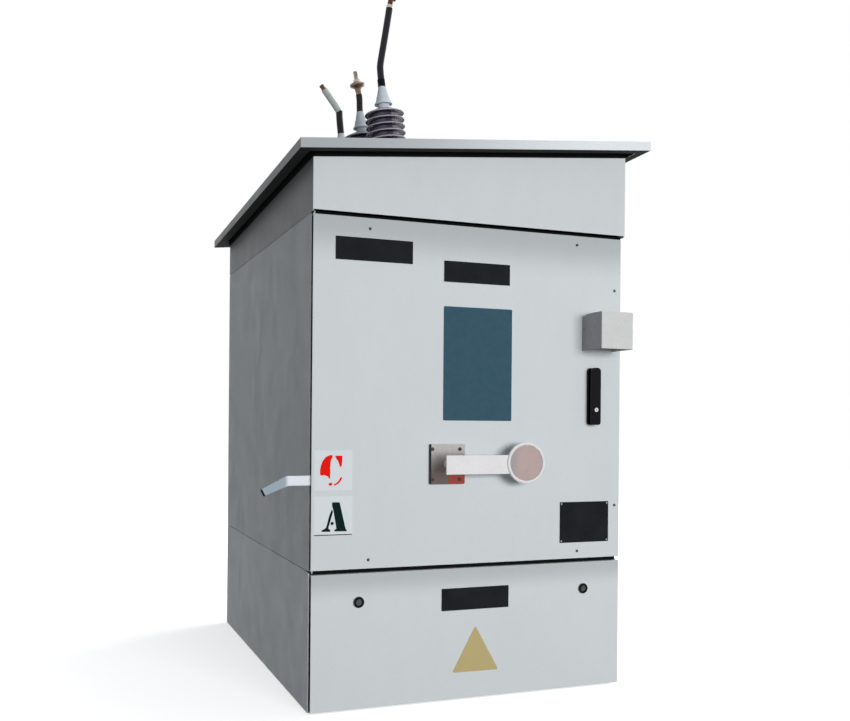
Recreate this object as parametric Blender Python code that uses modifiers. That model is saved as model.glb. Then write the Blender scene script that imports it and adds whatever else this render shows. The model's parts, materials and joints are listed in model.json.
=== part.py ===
"""Outdoor pad-mounted protection cubicle for medium voltage, with three roof bushings.

The steel housing is a base with the control bay, a body with the switch, and a skirt under a
sloping roof. The front door carries the rotary handle of the three-pole switch and a swing
handle with two lock rods. A lever on the left works the release shaft.

The origin is the centre of the pad face, with +X to the right, +Y to the back and +Z up, seen
from the door. Everything is in metres.
"""

import math

import bmesh
import bpy
from mathutils import Matrix, Vector

# ---------------------------------------------------------------- driving dimensions

WIDTH = 0.900
DEPTH = 1.190
BASE_HEIGHT = 0.355
BODY_HEIGHT = 0.910
SKIRT_HEIGHT = 0.139  # from the upper seam to the roof, at the front left corner

ROOF_SLOPE_X = 0.100  # rise for each metre to the right
ROOF_SLOPE_Y = -0.0245  # rise for each metre to the back
ROOF_OVERHANG_SIDE = 0.050
ROOF_OVERHANG_FRONT = 0.070
ROOF_OVERHANG_BACK = 0.040
ROOF_FASCIA = 0.025
ROOF_RETURN = 0.030
SKIRT_STEP_RIGHT = 0.012

SKIN = 0.0025
WALL = 0.003
FLOOR = 0.004
FLANGE = 0.030
CONTACT = 0.0003  # what stays open between pieces that touch
RUNNING = 0.0005  # round a shaft in its hole

RECESS = 0.0175  # from the front plane back to the frame behind the door
FRONT_SEAM = 0.011
SIDE_SEAM = 0.003
DOOR_EDGE_GAP = 0.0015
RIGHT_EDGE_GAP = 0.001
COVER_EDGE_GAP = 0.003
FOLD_DEPTH = 0.0125
JAMB = 0.062
SILL = 0.045
RAIL_BELOW_SEAM = 0.030
RAIL_ABOVE_SEAM = 0.040
FRAME_LIP = 0.024
GASKET_WIDTH = 0.012
GASKET_FROM_EDGE = 0.047

DOOR_PIVOT_FROM_LEFT = 0.005
DOOR_PIVOT_DEPTH = 0.0035
PIVOT_RADIUS = 0.003
PIVOT_LENGTH = 0.0065
PIVOT_LUG = 0.004
PIVOT_LUG_GAP = 0.0023  # between the door's edge and the lug

CABLE_SLOT_FROM_LEFT = 0.25
CABLE_SLOT_WIDTH = 0.35
CABLE_SLOT_FROM_BACK = 0.33
CABLE_SLOT_DEPTH = 0.20
CONTROL_BAY_DEPTH = 0.300

BUSHING_FROM_LEFT = 0.334
BUSHING_FROM_FRONT = 0.370
PHASE_SPACING = 0.235
PHASE_STEP_RIGHT = 0.0055
SHEDS = 9
SHED_PITCH = 0.0194
SHED_RADIUS = 0.0595
SHED_CORE = 0.036
BUSHING_FOOT = 0.041
BUSHING_FLANGE_RADIUS = 0.075
BUSHING_FLANGE = 0.012
BUSHING_STEM_RADIUS = 0.030
BUSHING_STEM = 0.150
STUD_RADIUS = 0.010
STUD = 0.050
CAP_HEIGHT = 0.068
CLAMP_FOOT = Vector((-0.0039, 0, 0.0545))  # the middle lead's end, from its foot
CLAMP_LEAN = math.radians(-10)  # to the left
CAP_NECK_RADIUS = 0.0165
CAP_BELL_RADIUS = 0.026
LEAD_RADIUS = 0.010
ROUND_STEPS = 16

SWITCH_FROM_LEFT = 0.368
SWITCH_ABOVE_BODY = 0.272
SHAFT_RADIUS = 0.020
SHAFT_START = 0.0605
SHAFT_PAST_POLE = 0.140
BLADE_REACH = 0.140
BLADE_WIDTH = 0.024
BLADE_THICKNESS = 0.006
BUSBAR_WIDTH = 0.030
BUSBAR_THICKNESS = 0.017
FORK_DEPTH = 0.020
POLE_REACH = 0.160
POLE_ARM = 0.040
POLE_WIDTH = 0.060
LOWER_BUSBAR = 0.150
BEARING_THICKNESS = 0.020
BEARING_HEIGHT = 0.056
BEARING_FROM_POLE = 0.105

TRANSFORMER_WIDTH = 0.140
TRANSFORMER_DEPTH = 0.200
TRANSFORMER_HEIGHT = 0.190
CONTROL_BOX_DEPTH = 0.110
CONTROL_BOX_MARGIN = 0.100

HANDLE_PLATE_WIDTH = 0.100
HANDLE_PLATE_HEIGHT = 0.106
HANDLE_PLATE_DEPTH = 0.008
HANDLE_REACH = 0.204
HANDLE_ARM_HEIGHT = 0.050
HANDLE_ARM_DEPTH = 0.006
HANDLE_STANDOFF = 0.056
HANDLE_HUB_RADIUS = 0.0125
HANDLE_SHAFT_RADIUS = 0.010
DISC_RADIUS = 0.0555
DISC_DEPTH = 0.010
DISC_STANDOFF = 0.056
DISC_RISE = 0.004  # above the arm's axis
DISC_RIM = 0.006
DISC_STEPS = 32

LOCK_FROM_RIGHT = 0.094
LOCK_BOTTOM = 0.378  # above the lower seam
LOCK_WIDTH = 0.030
LOCK_HEIGHT = 0.160
LOCK_HOUSING_DEPTH = 0.008
LOCK_LEVER_DEPTH = 0.021
LOCK_SPINDLE_FROM_TOP = 0.024
LOCK_SPINDLE_RADIUS = 0.008
LEVER_LIFT = math.radians(30)
LOCK_CAM_RADIUS = 0.022
LOCK_CAM_DEPTH = 0.034
KEY_RADIUS = 0.0065
KEY_FROM_BOTTOM = 0.042
ROD_RADIUS = 0.005
ROD_TIP_GAP = 0.001

HOOD_FROM_RIGHT = 0.075
HOOD_WIDTH = 0.100
HOOD_BOTTOM = 0.585  # above the lower seam
HOOD_HEIGHT = 0.101
HOOD_DEPTH = 0.1025
HOOD_WALL = 0.002
HOOD_BACK_RADIUS = 0.036  # over this the top turns down to the door
HOOD_BACK_DROP = 0.018

LEVER_PIVOT_FROM_LEFT = 0.030
LEVER_ABOVE_BODY = 0.233
LEVER_HEIGHT = 0.025
LEVER_THICKNESS = 0.0065
LEVER_FRONT_GAP = 0.009
LEVER_HUB_RADIUS = 0.014
LEVER_STRAIGHT = 0.087
LEVER_TIP = (-0.060, 0.016, -0.031)  # from the bend to the tip
LEVER_SHAFT_RADIUS = 0.007
LEVER_SHAFT_LENGTH = 0.134
LEVER_CRANK = 0.060

TURN_LOCK_FROM_LEFT = 0.128
TURN_LOCK_FROM_RIGHT = 0.117
TURN_LOCK_BELOW_SEAM = 0.079
TURN_LOCK_HEAD_RADIUS = 0.0145
TURN_LOCK_HEAD = 0.004
TURN_LOCK_BARREL_RADIUS = 0.009
TURN_LOCK_TONGUE = 0.060
COVER_PIVOT_DEPTH = 0.006
COVER_PIVOT_HEIGHT = 0.012
COVER_PIN_RADIUS = 0.002
COVER_KNUCKLE_RADIUS = 0.0042
COVER_KNUCKLE_LENGTH = 0.024
COVER_HINGE_FROM_SIDE = 0.100

# ---------------------------------------------------------------- places worked out from them

LEFT, RIGHT = -WIDTH / 2, WIDTH / 2
FRONT, BACK = -DEPTH / 2, DEPTH / 2
FRAME_FACE = FRONT + RECESS
LOWER_SEAM = BASE_HEIGHT
UPPER_SEAM = BASE_HEIGHT + BODY_HEIGHT
DOOR_BOTTOM = LOWER_SEAM + FRONT_SEAM / 2
DOOR_TOP = UPPER_SEAM - FRONT_SEAM / 2
BAY_BACK = FRONT + CONTROL_BAY_DEPTH

PHASES = [FRONT + BUSHING_FROM_FRONT + i * PHASE_SPACING for i in range(3)]
SWITCH_X = LEFT + SWITCH_FROM_LEFT
SWITCH_Z = LOWER_SEAM + SWITCH_ABOVE_BODY
SWITCH_PLATE_X = SWITCH_X + BUSBAR_WIDTH / 2 + POLE_REACH + POLE_ARM
DOOR_PIVOT = Vector((LEFT + DOOR_PIVOT_FROM_LEFT, FRONT + DOOR_PIVOT_DEPTH, LOWER_SEAM))
LOCK_X = RIGHT - LOCK_FROM_RIGHT
LOCK_Z = LOWER_SEAM + LOCK_BOTTOM
SPINDLE_Z = LOCK_Z + LOCK_HEIGHT - LOCK_SPINDLE_FROM_TOP
KEY_Z = LOCK_Z + KEY_FROM_BOTTOM
LEVER_Z = LOWER_SEAM + LEVER_ABOVE_BODY
LEVER_X = LEFT + LEVER_PIVOT_FROM_LEFT
TURN_LOCKS = {"left": LEFT + TURN_LOCK_FROM_LEFT, "right": RIGHT - TURN_LOCK_FROM_RIGHT}
TURN_LOCK_Z = LOWER_SEAM - TURN_LOCK_BELOW_SEAM

ROOF_NORMAL = Vector((-ROOF_SLOPE_X, -ROOF_SLOPE_Y, 1)).normalized()
STACK = BUSHING_FOOT + SHEDS * SHED_PITCH

# ---------------------------------------------------------------- finishes: colour, roughness, metallic

GREY_PAINT = ((0.56, 0.60, 0.61), 0.45, 0.0)
DARK_PAINT = ((0.05, 0.052, 0.055), 0.60, 0.0)
WHITE_PAINT = ((0.74, 0.75, 0.77), 0.35, 0.0)
ZINC = ((0.55, 0.56, 0.58), 0.35, 1.0)
SATIN_STEEL = ((0.42, 0.40, 0.38), 0.35, 1.0)
POLISHED_STEEL = ((0.66, 0.64, 0.63), 0.15, 1.0)
CHROME = ((0.80, 0.80, 0.80), 0.08, 1.0)
COPPER = ((0.64, 0.34, 0.22), 0.35, 1.0)
BRONZE = ((0.42, 0.32, 0.22), 0.40, 1.0)
BLACK_PLASTIC = ((0.012, 0.012, 0.015), 0.40, 0.0)
BLACK_RUBBER = ((0.02, 0.02, 0.022), 0.80, 0.0)
GLAZED_SHED = ((0.06, 0.055, 0.07), 0.25, 0.0)
GREY_RUBBER = ((0.58, 0.64, 0.67), 0.50, 0.0)
RESIN = ((0.35, 0.13, 0.08), 0.45, 0.0)


# ---------------------------------------------------------------- helpers


def collection(name):
    made = bpy.data.collections.new(name)
    bpy.context.scene.collection.children.link(made)
    return made


for leftover in list(bpy.data.objects):
    bpy.data.objects.remove(leftover)
PARTS = collection("pad_mounted_cubicle")
CUTTERS = collection("cutters")


def add(name, shape, finish):
    """A named piece, from a mesh or a curve, with a material of its own."""
    colour, roughness, metallic = finish
    material = bpy.data.materials.new(name)
    material.use_nodes = True
    shader = material.node_tree.nodes["Principled BSDF"]
    shader.inputs["Base Color"].default_value = (*colour, 1)
    shader.inputs["Roughness"].default_value = roughness
    shader.inputs["Metallic"].default_value = metallic
    shape.materials.clear()
    shape.materials.append(material)
    piece = bpy.data.objects.new(name, shape)
    PARTS.objects.link(piece)
    return piece


def mesh_of(name, build):
    mesh = bpy.data.meshes.new(name)
    shape = bmesh.new()
    build(shape)
    shape.to_mesh(mesh)
    shape.free()
    return mesh


def box_mesh(name, low, high):
    """A box between two corners."""
    low, high = Vector(low), Vector(high)

    def build(shape):
        bmesh.ops.create_cube(shape, size=1)
        bmesh.ops.scale(shape, vec=high - low, verts=shape.verts)
        bmesh.ops.translate(shape, vec=(low + high) / 2, verts=shape.verts)

    return mesh_of(name, build)


def rod_mesh(name, start, end, radius, steps=ROUND_STEPS):
    """A round bar between two points."""
    start, end = Vector(start), Vector(end)
    turn = (end - start).to_track_quat("Z", "Y").to_matrix().to_4x4()
    place = Matrix.Translation((start + end) / 2) @ turn

    def build(shape):
        bmesh.ops.create_cone(
            shape,
            cap_ends=True,
            segments=steps,
            radius1=radius,
            radius2=radius,
            depth=(end - start).length,
            matrix=place,
        )

    mesh = mesh_of(name, build)
    mesh.shade_smooth()
    mesh.set_sharp_from_angle(angle=math.radians(40))
    return mesh


def box(name, low, high, finish):
    return add(name, box_mesh(name, low, high), finish)


def rod(name, start, end, radius, finish, steps=ROUND_STEPS):
    return add(name, rod_mesh(name, start, end, radius, steps), finish)


def boolean(piece, mesh, operation):
    """Cuts a mesh from a piece or joins it on. The mesh becomes a hidden helper."""
    helper = bpy.data.objects.new(f"{piece.name}_{operation.lower()}", mesh)
    CUTTERS.objects.link(helper)
    helper.hide_render = True
    helper.display_type = "WIRE"
    modifier = piece.modifiers.new(helper.name, "BOOLEAN")
    modifier.operation = operation
    modifier.object = helper
    return helper


def cut_box(piece, low, high):
    return boolean(piece, box_mesh("cut", low, high), "DIFFERENCE")


def cut_rod(piece, start, end, radius, steps=ROUND_STEPS):
    return boolean(piece, rod_mesh("cut", start, end, radius, steps), "DIFFERENCE")


def join_box(piece, low, high):
    return boolean(piece, box_mesh("join", low, high), "UNION")


def join_rod(piece, start, end, radius):
    return boolean(piece, rod_mesh("join", start, end, radius), "UNION")


def rounded(piece, width, segments=2):
    """Rounds a piece's sharp edges."""
    bevel = piece.modifiers.new("rounding", "BEVEL")
    bevel.width = width
    bevel.segments = segments
    bevel.limit_method = "ANGLE"
    return piece


def turned(name, profile, finish, place):
    """A turned piece from its (radius, height) profile, top to bottom, set by a matrix."""
    mesh = bpy.data.meshes.new(name)
    points = [(radius, 0, height) for radius, height in profile]
    mesh.from_pydata(points, [(i, i + 1) for i in range(len(points) - 1)], [])
    piece = add(name, mesh, finish)
    piece.matrix_world = place
    screw = piece.modifiers.new("turn", "SCREW")
    screw.steps = screw.render_steps = ROUND_STEPS
    screw.use_merge_vertices = True
    screw.merge_threshold = 0.00001
    return piece


def outline_mesh(name, points, depth, place):
    """A flat outline, thickened by depth along its own Z and set by a matrix."""
    curve = bpy.data.curves.new(name, "CURVE")
    curve.dimensions = "2D"
    curve.fill_mode = "BOTH"
    curve.extrude = depth / 2
    spline = curve.splines.new("POLY")
    spline.points.add(len(points) - 1)
    for point, (x, y) in zip(spline.points, points):
        point.co = (x, y, 0, 1)
    spline.use_cyclic_u = True
    drawn = bpy.data.objects.new(name, curve)
    PARTS.objects.link(drawn)
    bpy.context.view_layer.update()
    graph = bpy.context.evaluated_depsgraph_get()
    mesh = bpy.data.meshes.new_from_object(drawn.evaluated_get(graph))
    bpy.data.objects.remove(drawn)
    shape = bmesh.new()
    shape.from_mesh(mesh)
    bmesh.ops.remove_doubles(shape, verts=shape.verts, dist=0.00001)
    bmesh.ops.recalc_face_normals(shape, faces=shape.faces)
    shape.to_mesh(mesh)
    shape.free()
    mesh.transform(place)
    return mesh


def rounded_rectangle(width, height, radius, steps=4):
    """The outline of a rectangle about the origin, with round corners."""
    points = []
    for corner, (sx, sy) in enumerate(((1, 1), (-1, 1), (-1, -1), (1, -1))):
        for i in range(steps + 1):
            angle = math.pi / 2 * (corner + i / steps)
            centre = (sx * (width / 2 - radius), sy * (height / 2 - radius))
            points.append(
                (centre[0] + radius * math.cos(angle), centre[1] + radius * math.sin(angle))
            )
    return points


def facing_front(x, y, z):
    """Sets an outline upright: its X to +X, its Y to +Z and its depth along -Y, centred on y."""
    return Matrix.Translation((x, y, z)) @ Matrix.Rotation(math.pi / 2, 4, "X")


def axis_empty(name, point, parent=None):
    """An empty on a joint's axis, which carries what moves."""
    empty = bpy.data.objects.new(name, None)
    PARTS.objects.link(empty)
    empty.parent = parent
    bpy.context.view_layer.update()
    empty.location = Vector(point) - (parent.matrix_world.translation if parent else Vector())
    bpy.context.view_layer.update()
    return empty


def carry(empty, pieces):
    """Hangs pieces on a joint's empty, with their origins on it and their shapes where they were."""
    origin = empty.matrix_world.translation
    for piece in pieces:
        piece.data.transform(Matrix.Translation(-origin) @ piece.matrix_world)
        piece.matrix_world = Matrix()
        piece.parent = empty


def roof_at(x, y):
    """The height of the roof's lower plane."""
    return UPPER_SEAM + SKIRT_HEIGHT + ROOF_SLOPE_X * (x - LEFT) + ROOF_SLOPE_Y * (y - FRONT)


def under_roof(mesh, above):
    """Moves the upper corners of a box to a height above the roof's lower plane."""
    middle = sum(vertex.co.z for vertex in mesh.vertices) / len(mesh.vertices)
    for vertex in mesh.vertices:
        if vertex.co.z > middle:
            vertex.co.z = roof_at(vertex.co.x, vertex.co.y) + above
    return mesh


def on_slope(mesh, low, high):
    """Puts a box's lower and upper corners at two heights above the roof's lower plane."""
    middle = sum(vertex.co.z for vertex in mesh.vertices) / len(mesh.vertices)
    for vertex in mesh.vertices:
        above = high if vertex.co.z > middle else low
        vertex.co.z = roof_at(vertex.co.x, vertex.co.y) + above
    return mesh


def roof_place(y, along):
    """A matrix on a bushing's axis, a distance along it from the roof's top."""
    x = LEFT + BUSHING_FROM_LEFT + PHASES.index(y) * PHASE_STEP_RIGHT
    foot = Vector((x, y, roof_at(x, y) + ROOF_FASCIA))
    tilt = ROOF_NORMAL.to_track_quat("Z", "Y").to_matrix().to_4x4()
    return Matrix.Translation(foot + ROOF_NORMAL * along) @ tilt


# ---------------------------------------------------------------- base


def build_base():
    floor = box(
        "floor_plate",
        (LEFT + WALL + CONTACT, FRAME_FACE, 0),
        (RIGHT - WALL - CONTACT, BACK - WALL - CONTACT, FLOOR),
        GREY_PAINT,
    )
    slot_low = (LEFT + CABLE_SLOT_FROM_LEFT, BACK - CABLE_SLOT_FROM_BACK - CABLE_SLOT_DEPTH)
    slot_high = (slot_low[0] + CABLE_SLOT_WIDTH, BACK - CABLE_SLOT_FROM_BACK)
    cut_box(floor, (*slot_low, -FLOOR), (*slot_high, 2 * FLOOR))

    wall_top = LOWER_SEAM - SIDE_SEAM / 2
    shell = box("base_shell", (LEFT, FRAME_FACE, 0), (RIGHT, BACK, wall_top), GREY_PAINT)
    cut_box(shell, (LEFT + WALL, FRONT, -WALL), (RIGHT - WALL, BACK - WALL, LOWER_SEAM))
    flange_low = wall_top - WALL
    flange_high = LOWER_SEAM + SIDE_SEAM / 2 - CONTACT
    lip = Vector((WALL / 2, WALL / 2, 0))
    for side, low_x in (("left", LEFT + WALL / 2), ("right", RIGHT - WALL / 2 - FLANGE)):
        join_box(
            shell,
            (low_x, FRAME_FACE + WALL + FRAME_LIP + CONTACT, flange_low),
            (low_x + FLANGE, BACK - lip.y, flange_high),
        )
    join_box(
        shell,
        (LEFT + lip.x, BACK - lip.y - FLANGE, flange_low),
        (RIGHT - lip.x, BACK - lip.y, flange_high),
    )

    # The control bay's roof and back wall are one folded sheet behind the frame.
    bay_left = LEFT + FLANGE + 2 * WALL
    bay_front = FRAME_FACE + WALL + FRAME_LIP + CONTACT
    bay = box(
        "control_bay_partition",
        (bay_left, bay_front, FLOOR + CONTACT),
        (-bay_left, BAY_BACK, LOWER_SEAM),
        GREY_PAINT,
    )
    cut_box(bay, (LEFT, FRONT, 0), (RIGHT, BAY_BACK - SKIN, LOWER_SEAM - SKIN))

    control_box = box(
        "control_box",
        (
            bay_left + CONTROL_BOX_MARGIN,
            BAY_BACK - SKIN - CONTACT - CONTROL_BOX_DEPTH,
            FLOOR + CONTACT,
        ),
        (
            -bay_left - CONTROL_BOX_MARGIN,
            BAY_BACK - SKIN - CONTACT,
            LOWER_SEAM - CONTROL_BOX_MARGIN / 2,
        ),
        GREY_PAINT,
    )
    rounded(control_box, 0.003)


# ---------------------------------------------------------------- frame and walls


def build_frame():
    """The welded front frame, with the door's pivot lugs and the cover's hinge pins."""
    inner = WALL + CONTACT
    top = UPPER_SEAM - SIDE_SEAM / 2 - CONTACT
    foot = FLOOR + CONTACT
    frame = box(
        "front_frame",
        (LEFT + inner, FRAME_FACE, foot),
        (RIGHT - inner, FRAME_FACE + WALL + FRAME_LIP, top),
        DARK_PAINT,
    )
    cut_box(
        frame,
        (LEFT + inner + WALL, FRAME_FACE + WALL, foot + WALL),
        (RIGHT - inner - WALL, BACK, top - WALL),
    )
    window_x = (LEFT + JAMB, RIGHT - JAMB)
    for low_z, high_z in (
        (SILL, LOWER_SEAM - RAIL_BELOW_SEAM),
        (LOWER_SEAM + RAIL_ABOVE_SEAM, UPPER_SEAM - SILL),
    ):
        cut_box(frame, (window_x[0], FRONT, low_z), (window_x[1], BACK, high_z))

    pivot_front = FRONT + DOOR_PIVOT_DEPTH - PIVOT_RADIUS
    for low_z in (DOOR_TOP + PIVOT_LUG_GAP, DOOR_BOTTOM - PIVOT_LUG - PIVOT_LUG_GAP):
        join_box(
            frame,
            (LEFT + RUNNING, pivot_front, low_z),
            (LEFT + LEVER_PIVOT_FROM_LEFT / 2, FRAME_FACE + WALL / 2, low_z + PIVOT_LUG),
        )
        cut_rod(
            frame,
            (DOOR_PIVOT.x, DOOR_PIVOT.y, low_z - PIVOT_LUG),
            (DOOR_PIVOT.x, DOOR_PIVOT.y, low_z + 2 * PIVOT_LUG),
            PIVOT_RADIUS + CONTACT,
        )
    cut_box(frame, (LEFT - WALL, FRAME_FACE - CONTACT, 0), (LEFT + inner, BACK, UPPER_SEAM + 1))

    pin_y = FRONT + COVER_PIVOT_DEPTH
    # The cover's skin swings past the lug, so the lug's front stays inside the skin's circle.
    swing = COVER_PIVOT_DEPTH - SKIN
    for sign in (-1, 1):
        outer = sign * (WIDTH / 2 - COVER_HINGE_FROM_SIDE)
        lug_inner = outer - sign * PIVOT_LUG
        pin_end = lug_inner - sign * (COVER_KNUCKLE_LENGTH + 2 * CONTACT)
        join_box(
            frame,
            (min(outer, lug_inner), pin_y - 0.5 * swing, COVER_PIVOT_HEIGHT - 0.8 * swing),
            (max(outer, lug_inner), FRAME_FACE + WALL / 2, COVER_PIVOT_HEIGHT + 0.8 * swing),
        )
        join_rod(
            frame,
            (outer - sign * PIVOT_LUG / 2, pin_y, COVER_PIVOT_HEIGHT),
            (pin_end, pin_y, COVER_PIVOT_HEIGHT),
            COVER_PIN_RADIUS,
        )

    cut_rod(
        frame,
        (LEVER_X, FRONT, LEVER_Z),
        (LEVER_X, FRAME_FACE + 2 * WALL, LEVER_Z),
        LEVER_SHAFT_RADIUS + RUNNING,
    )

    gasket_y = (FRONT + SKIN + CONTACT, FRAME_FACE - CONTACT)
    edge = GASKET_FROM_EDGE
    gasket = box(
        "door_gasket",
        (LEFT + edge, gasket_y[0], LOWER_SEAM + RAIL_ABOVE_SEAM - 2 * GASKET_WIDTH),
        (RIGHT - edge, gasket_y[1], UPPER_SEAM - SILL + 2 * GASKET_WIDTH),
        BLACK_RUBBER,
    )
    cut_box(
        gasket,
        (LEFT + edge + GASKET_WIDTH, FRONT, LOWER_SEAM + RAIL_ABOVE_SEAM - GASKET_WIDTH),
        (RIGHT - edge - GASKET_WIDTH, FRAME_FACE, UPPER_SEAM - SILL + GASKET_WIDTH),
    )


def build_walls():
    wall_z = (LOWER_SEAM + SIDE_SEAM / 2, UPPER_SEAM - SIDE_SEAM / 2)
    wall_y = (FRAME_FACE, BACK - WALL - CONTACT)
    box(
        "body_left_wall",
        (LEFT, wall_y[0], wall_z[0]),
        (LEFT + WALL, wall_y[1], wall_z[1]),
        GREY_PAINT,
    )
    box(
        "body_right_wall",
        (RIGHT - WALL, wall_y[0], wall_z[0]),
        (RIGHT, wall_y[1], wall_z[1]),
        GREY_PAINT,
    )
    box("rear_panel", (LEFT, BACK - WALL, wall_z[0]), (RIGHT, BACK, wall_z[1]), GREY_PAINT)


def build_skirt_and_roof():
    """The skirt's ring of walls, with a flange that stands on the body, and the roof tray."""
    skirt_right = RIGHT + SKIRT_STEP_RIGHT
    skirt_low = UPPER_SEAM + SIDE_SEAM / 2
    sheet_under = ROOF_FASCIA - SKIN - CONTACT
    walls = box_mesh("skirt", (LEFT, FRONT, skirt_low), (skirt_right, BACK, UPPER_SEAM + 1))
    skirt = add("skirt", under_roof(walls, sheet_under), GREY_PAINT)
    cut_box(
        skirt,
        (LEFT + WALL, FRONT + WALL, UPPER_SEAM),
        (skirt_right - WALL, BACK - WALL, UPPER_SEAM + 2),
    )
    flange_z = (UPPER_SEAM - SIDE_SEAM / 2 + CONTACT, UPPER_SEAM + FRONT_SEAM / 2 - CONTACT)
    half = WALL / 2
    flange_front = FRAME_FACE + WALL + CONTACT
    low = (LEFT + half, flange_front, flange_z[0])
    high = (skirt_right - half, BACK - half, flange_z[1])
    join_box(skirt, low, (low[0] + FLANGE, high[1], flange_z[1]))
    join_box(skirt, (high[0] - FLANGE, low[1], flange_z[0]), high)
    join_box(skirt, (low[0], high[1] - FLANGE, flange_z[0]), high)
    join_box(skirt, low, (high[0], low[1] + FLANGE, flange_z[1]))
    front_low = UPPER_SEAM + FRONT_SEAM / 2
    cut_box(skirt, (LEFT - WALL, FRONT - WALL, UPPER_SEAM), (RIGHT + 1, FRONT + WALL, front_low))

    low = (LEFT - ROOF_OVERHANG_SIDE, FRONT - ROOF_OVERHANG_FRONT)
    high = (RIGHT + ROOF_OVERHANG_SIDE, BACK + ROOF_OVERHANG_BACK)

    def slab(name, inset, bottom, top):
        corners = box_mesh(
            name,
            (low[0] + inset, low[1] + inset, 0),
            (high[0] - inset, high[1] - inset, 1),
        )
        return on_slope(corners, bottom, top)

    roof = add("roof", slab("roof", 0, 0, ROOF_FASCIA), GREY_PAINT)
    boolean(roof, slab("cut", SKIN, SKIN, ROOF_FASCIA - SKIN), "DIFFERENCE")
    boolean(roof, slab("cut", ROOF_RETURN, -SKIN, ROOF_FASCIA - SKIN), "DIFFERENCE")
    for phase in PHASES:
        place = roof_place(phase, 0)
        start = place @ Vector((0, 0, -ROOF_FASCIA))
        end = place @ Vector((0, 0, ROOF_FASCIA))
        cut_rod(roof, start, end, BUSHING_STEM_RADIUS + RUNNING)


# ---------------------------------------------------------------- bushings and leads


def bushing_profile():
    """Sheds from the top down, then the foot, the flange on the roof and the stem under it."""
    profile = [(0, STACK), (CAP_NECK_RADIUS, STACK)]
    for shed in reversed(range(SHEDS)):
        low = BUSHING_FOOT + shed * SHED_PITCH
        profile += [
            (SHED_CORE, low + 0.80 * SHED_PITCH),
            (SHED_RADIUS, low + 0.25 * SHED_PITCH),
            (SHED_CORE, low + 0.10 * SHED_PITCH),
        ]
    return profile + [
        (SHED_CORE + 0.006, BUSHING_FLANGE + CONTACT),
        (BUSHING_FLANGE_RADIUS, BUSHING_FLANGE),
        (BUSHING_FLANGE_RADIUS, CONTACT),
        (BUSHING_STEM_RADIUS, CONTACT),
        (BUSHING_STEM_RADIUS, -BUSHING_STEM),
        (STUD_RADIUS, -BUSHING_STEM),
        (STUD_RADIUS, -BUSHING_STEM - STUD),
        (0, -BUSHING_STEM - STUD),
    ]


def cap_profile():
    """A moulded cap: a neck, an open bell over it and a cone up to the lead."""
    bell = CAP_BELL_RADIUS
    return [
        (0, CAP_HEIGHT),
        (LEAD_RADIUS + 0.0005, CAP_HEIGHT),
        (0.0175, 0.039),
        (0.0190, 0.034),
        (bell - 0.0035, 0.022),
        (bell, 0.0155),
        (bell - 0.0015, 0.013),
        (CAP_NECK_RADIUS, 0.013),
        (CAP_NECK_RADIUS, CONTACT),
        (0, CONTACT),
    ]


def lead(name, foot, offsets, radius, finish):
    """A stiff insulated lead along points that are offsets from its foot."""
    curve = bpy.data.curves.new(name, "CURVE")
    curve.dimensions = "3D"
    curve.bevel_depth = radius
    curve.bevel_resolution = 3
    curve.use_fill_caps = True
    curve.resolution_u = 4
    spline = curve.splines.new("NURBS")
    spline.points.add(len(offsets) - 1)
    for point, offset in zip(spline.points, offsets):
        point.co = (*(Vector(foot) + Vector(offset)), 1)
    spline.order_u = 3
    spline.use_endpoint_u = True
    return add(name, curve, finish)


def build_bushings():
    for number, phase in enumerate(PHASES, 1):
        turned(f"bushing_{number}", bushing_profile(), GLAZED_SHED, roof_place(phase, 0))
        turned(f"bushing_cap_{number}", cap_profile(), GREY_RUBBER, roof_place(phase, STACK))

    tops = [roof_place(phase, STACK + CAP_HEIGHT + CONTACT).translation for phase in PHASES]
    up_and_over = [
        (0, 0, 0),
        ROOF_NORMAL * 0.012,
        (-0.0055, 0, 0.050),
        (-0.0060, 0, 0.064),
        (0.0104, 0, 0.1613),
        (0.0219, 0, 0.2371),
    ]
    lead("lead_1", tops[0], up_and_over, LEAD_RADIUS, BLACK_RUBBER)
    under_clamp = CLAMP_FOOT - Matrix.Rotation(CLAMP_LEAN, 3, "Y") @ Vector((0, 0, 0.016))
    sleeve = [(0, 0, 0), ROOF_NORMAL * 0.012, under_clamp, CLAMP_FOOT]
    lead("lead_2", tops[1], sleeve, LEAD_RADIUS, BLACK_RUBBER)
    bent = [
        (0, 0, 0),
        ROOF_NORMAL * 0.012,
        (-0.0052, 0, 0.0456),
        (-0.0066, 0, 0.076),
        (-0.0066, 0, 0.076),
        (-0.0346, 0, 0.1118),
        (-0.0603, 0, 0.1432),
    ]
    lead("lead_3", tops[2], bent, LEAD_RADIUS * 0.95, BLACK_RUBBER)
    build_connectors(tops, up_and_over[-2:], bent[-2:])


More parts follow.
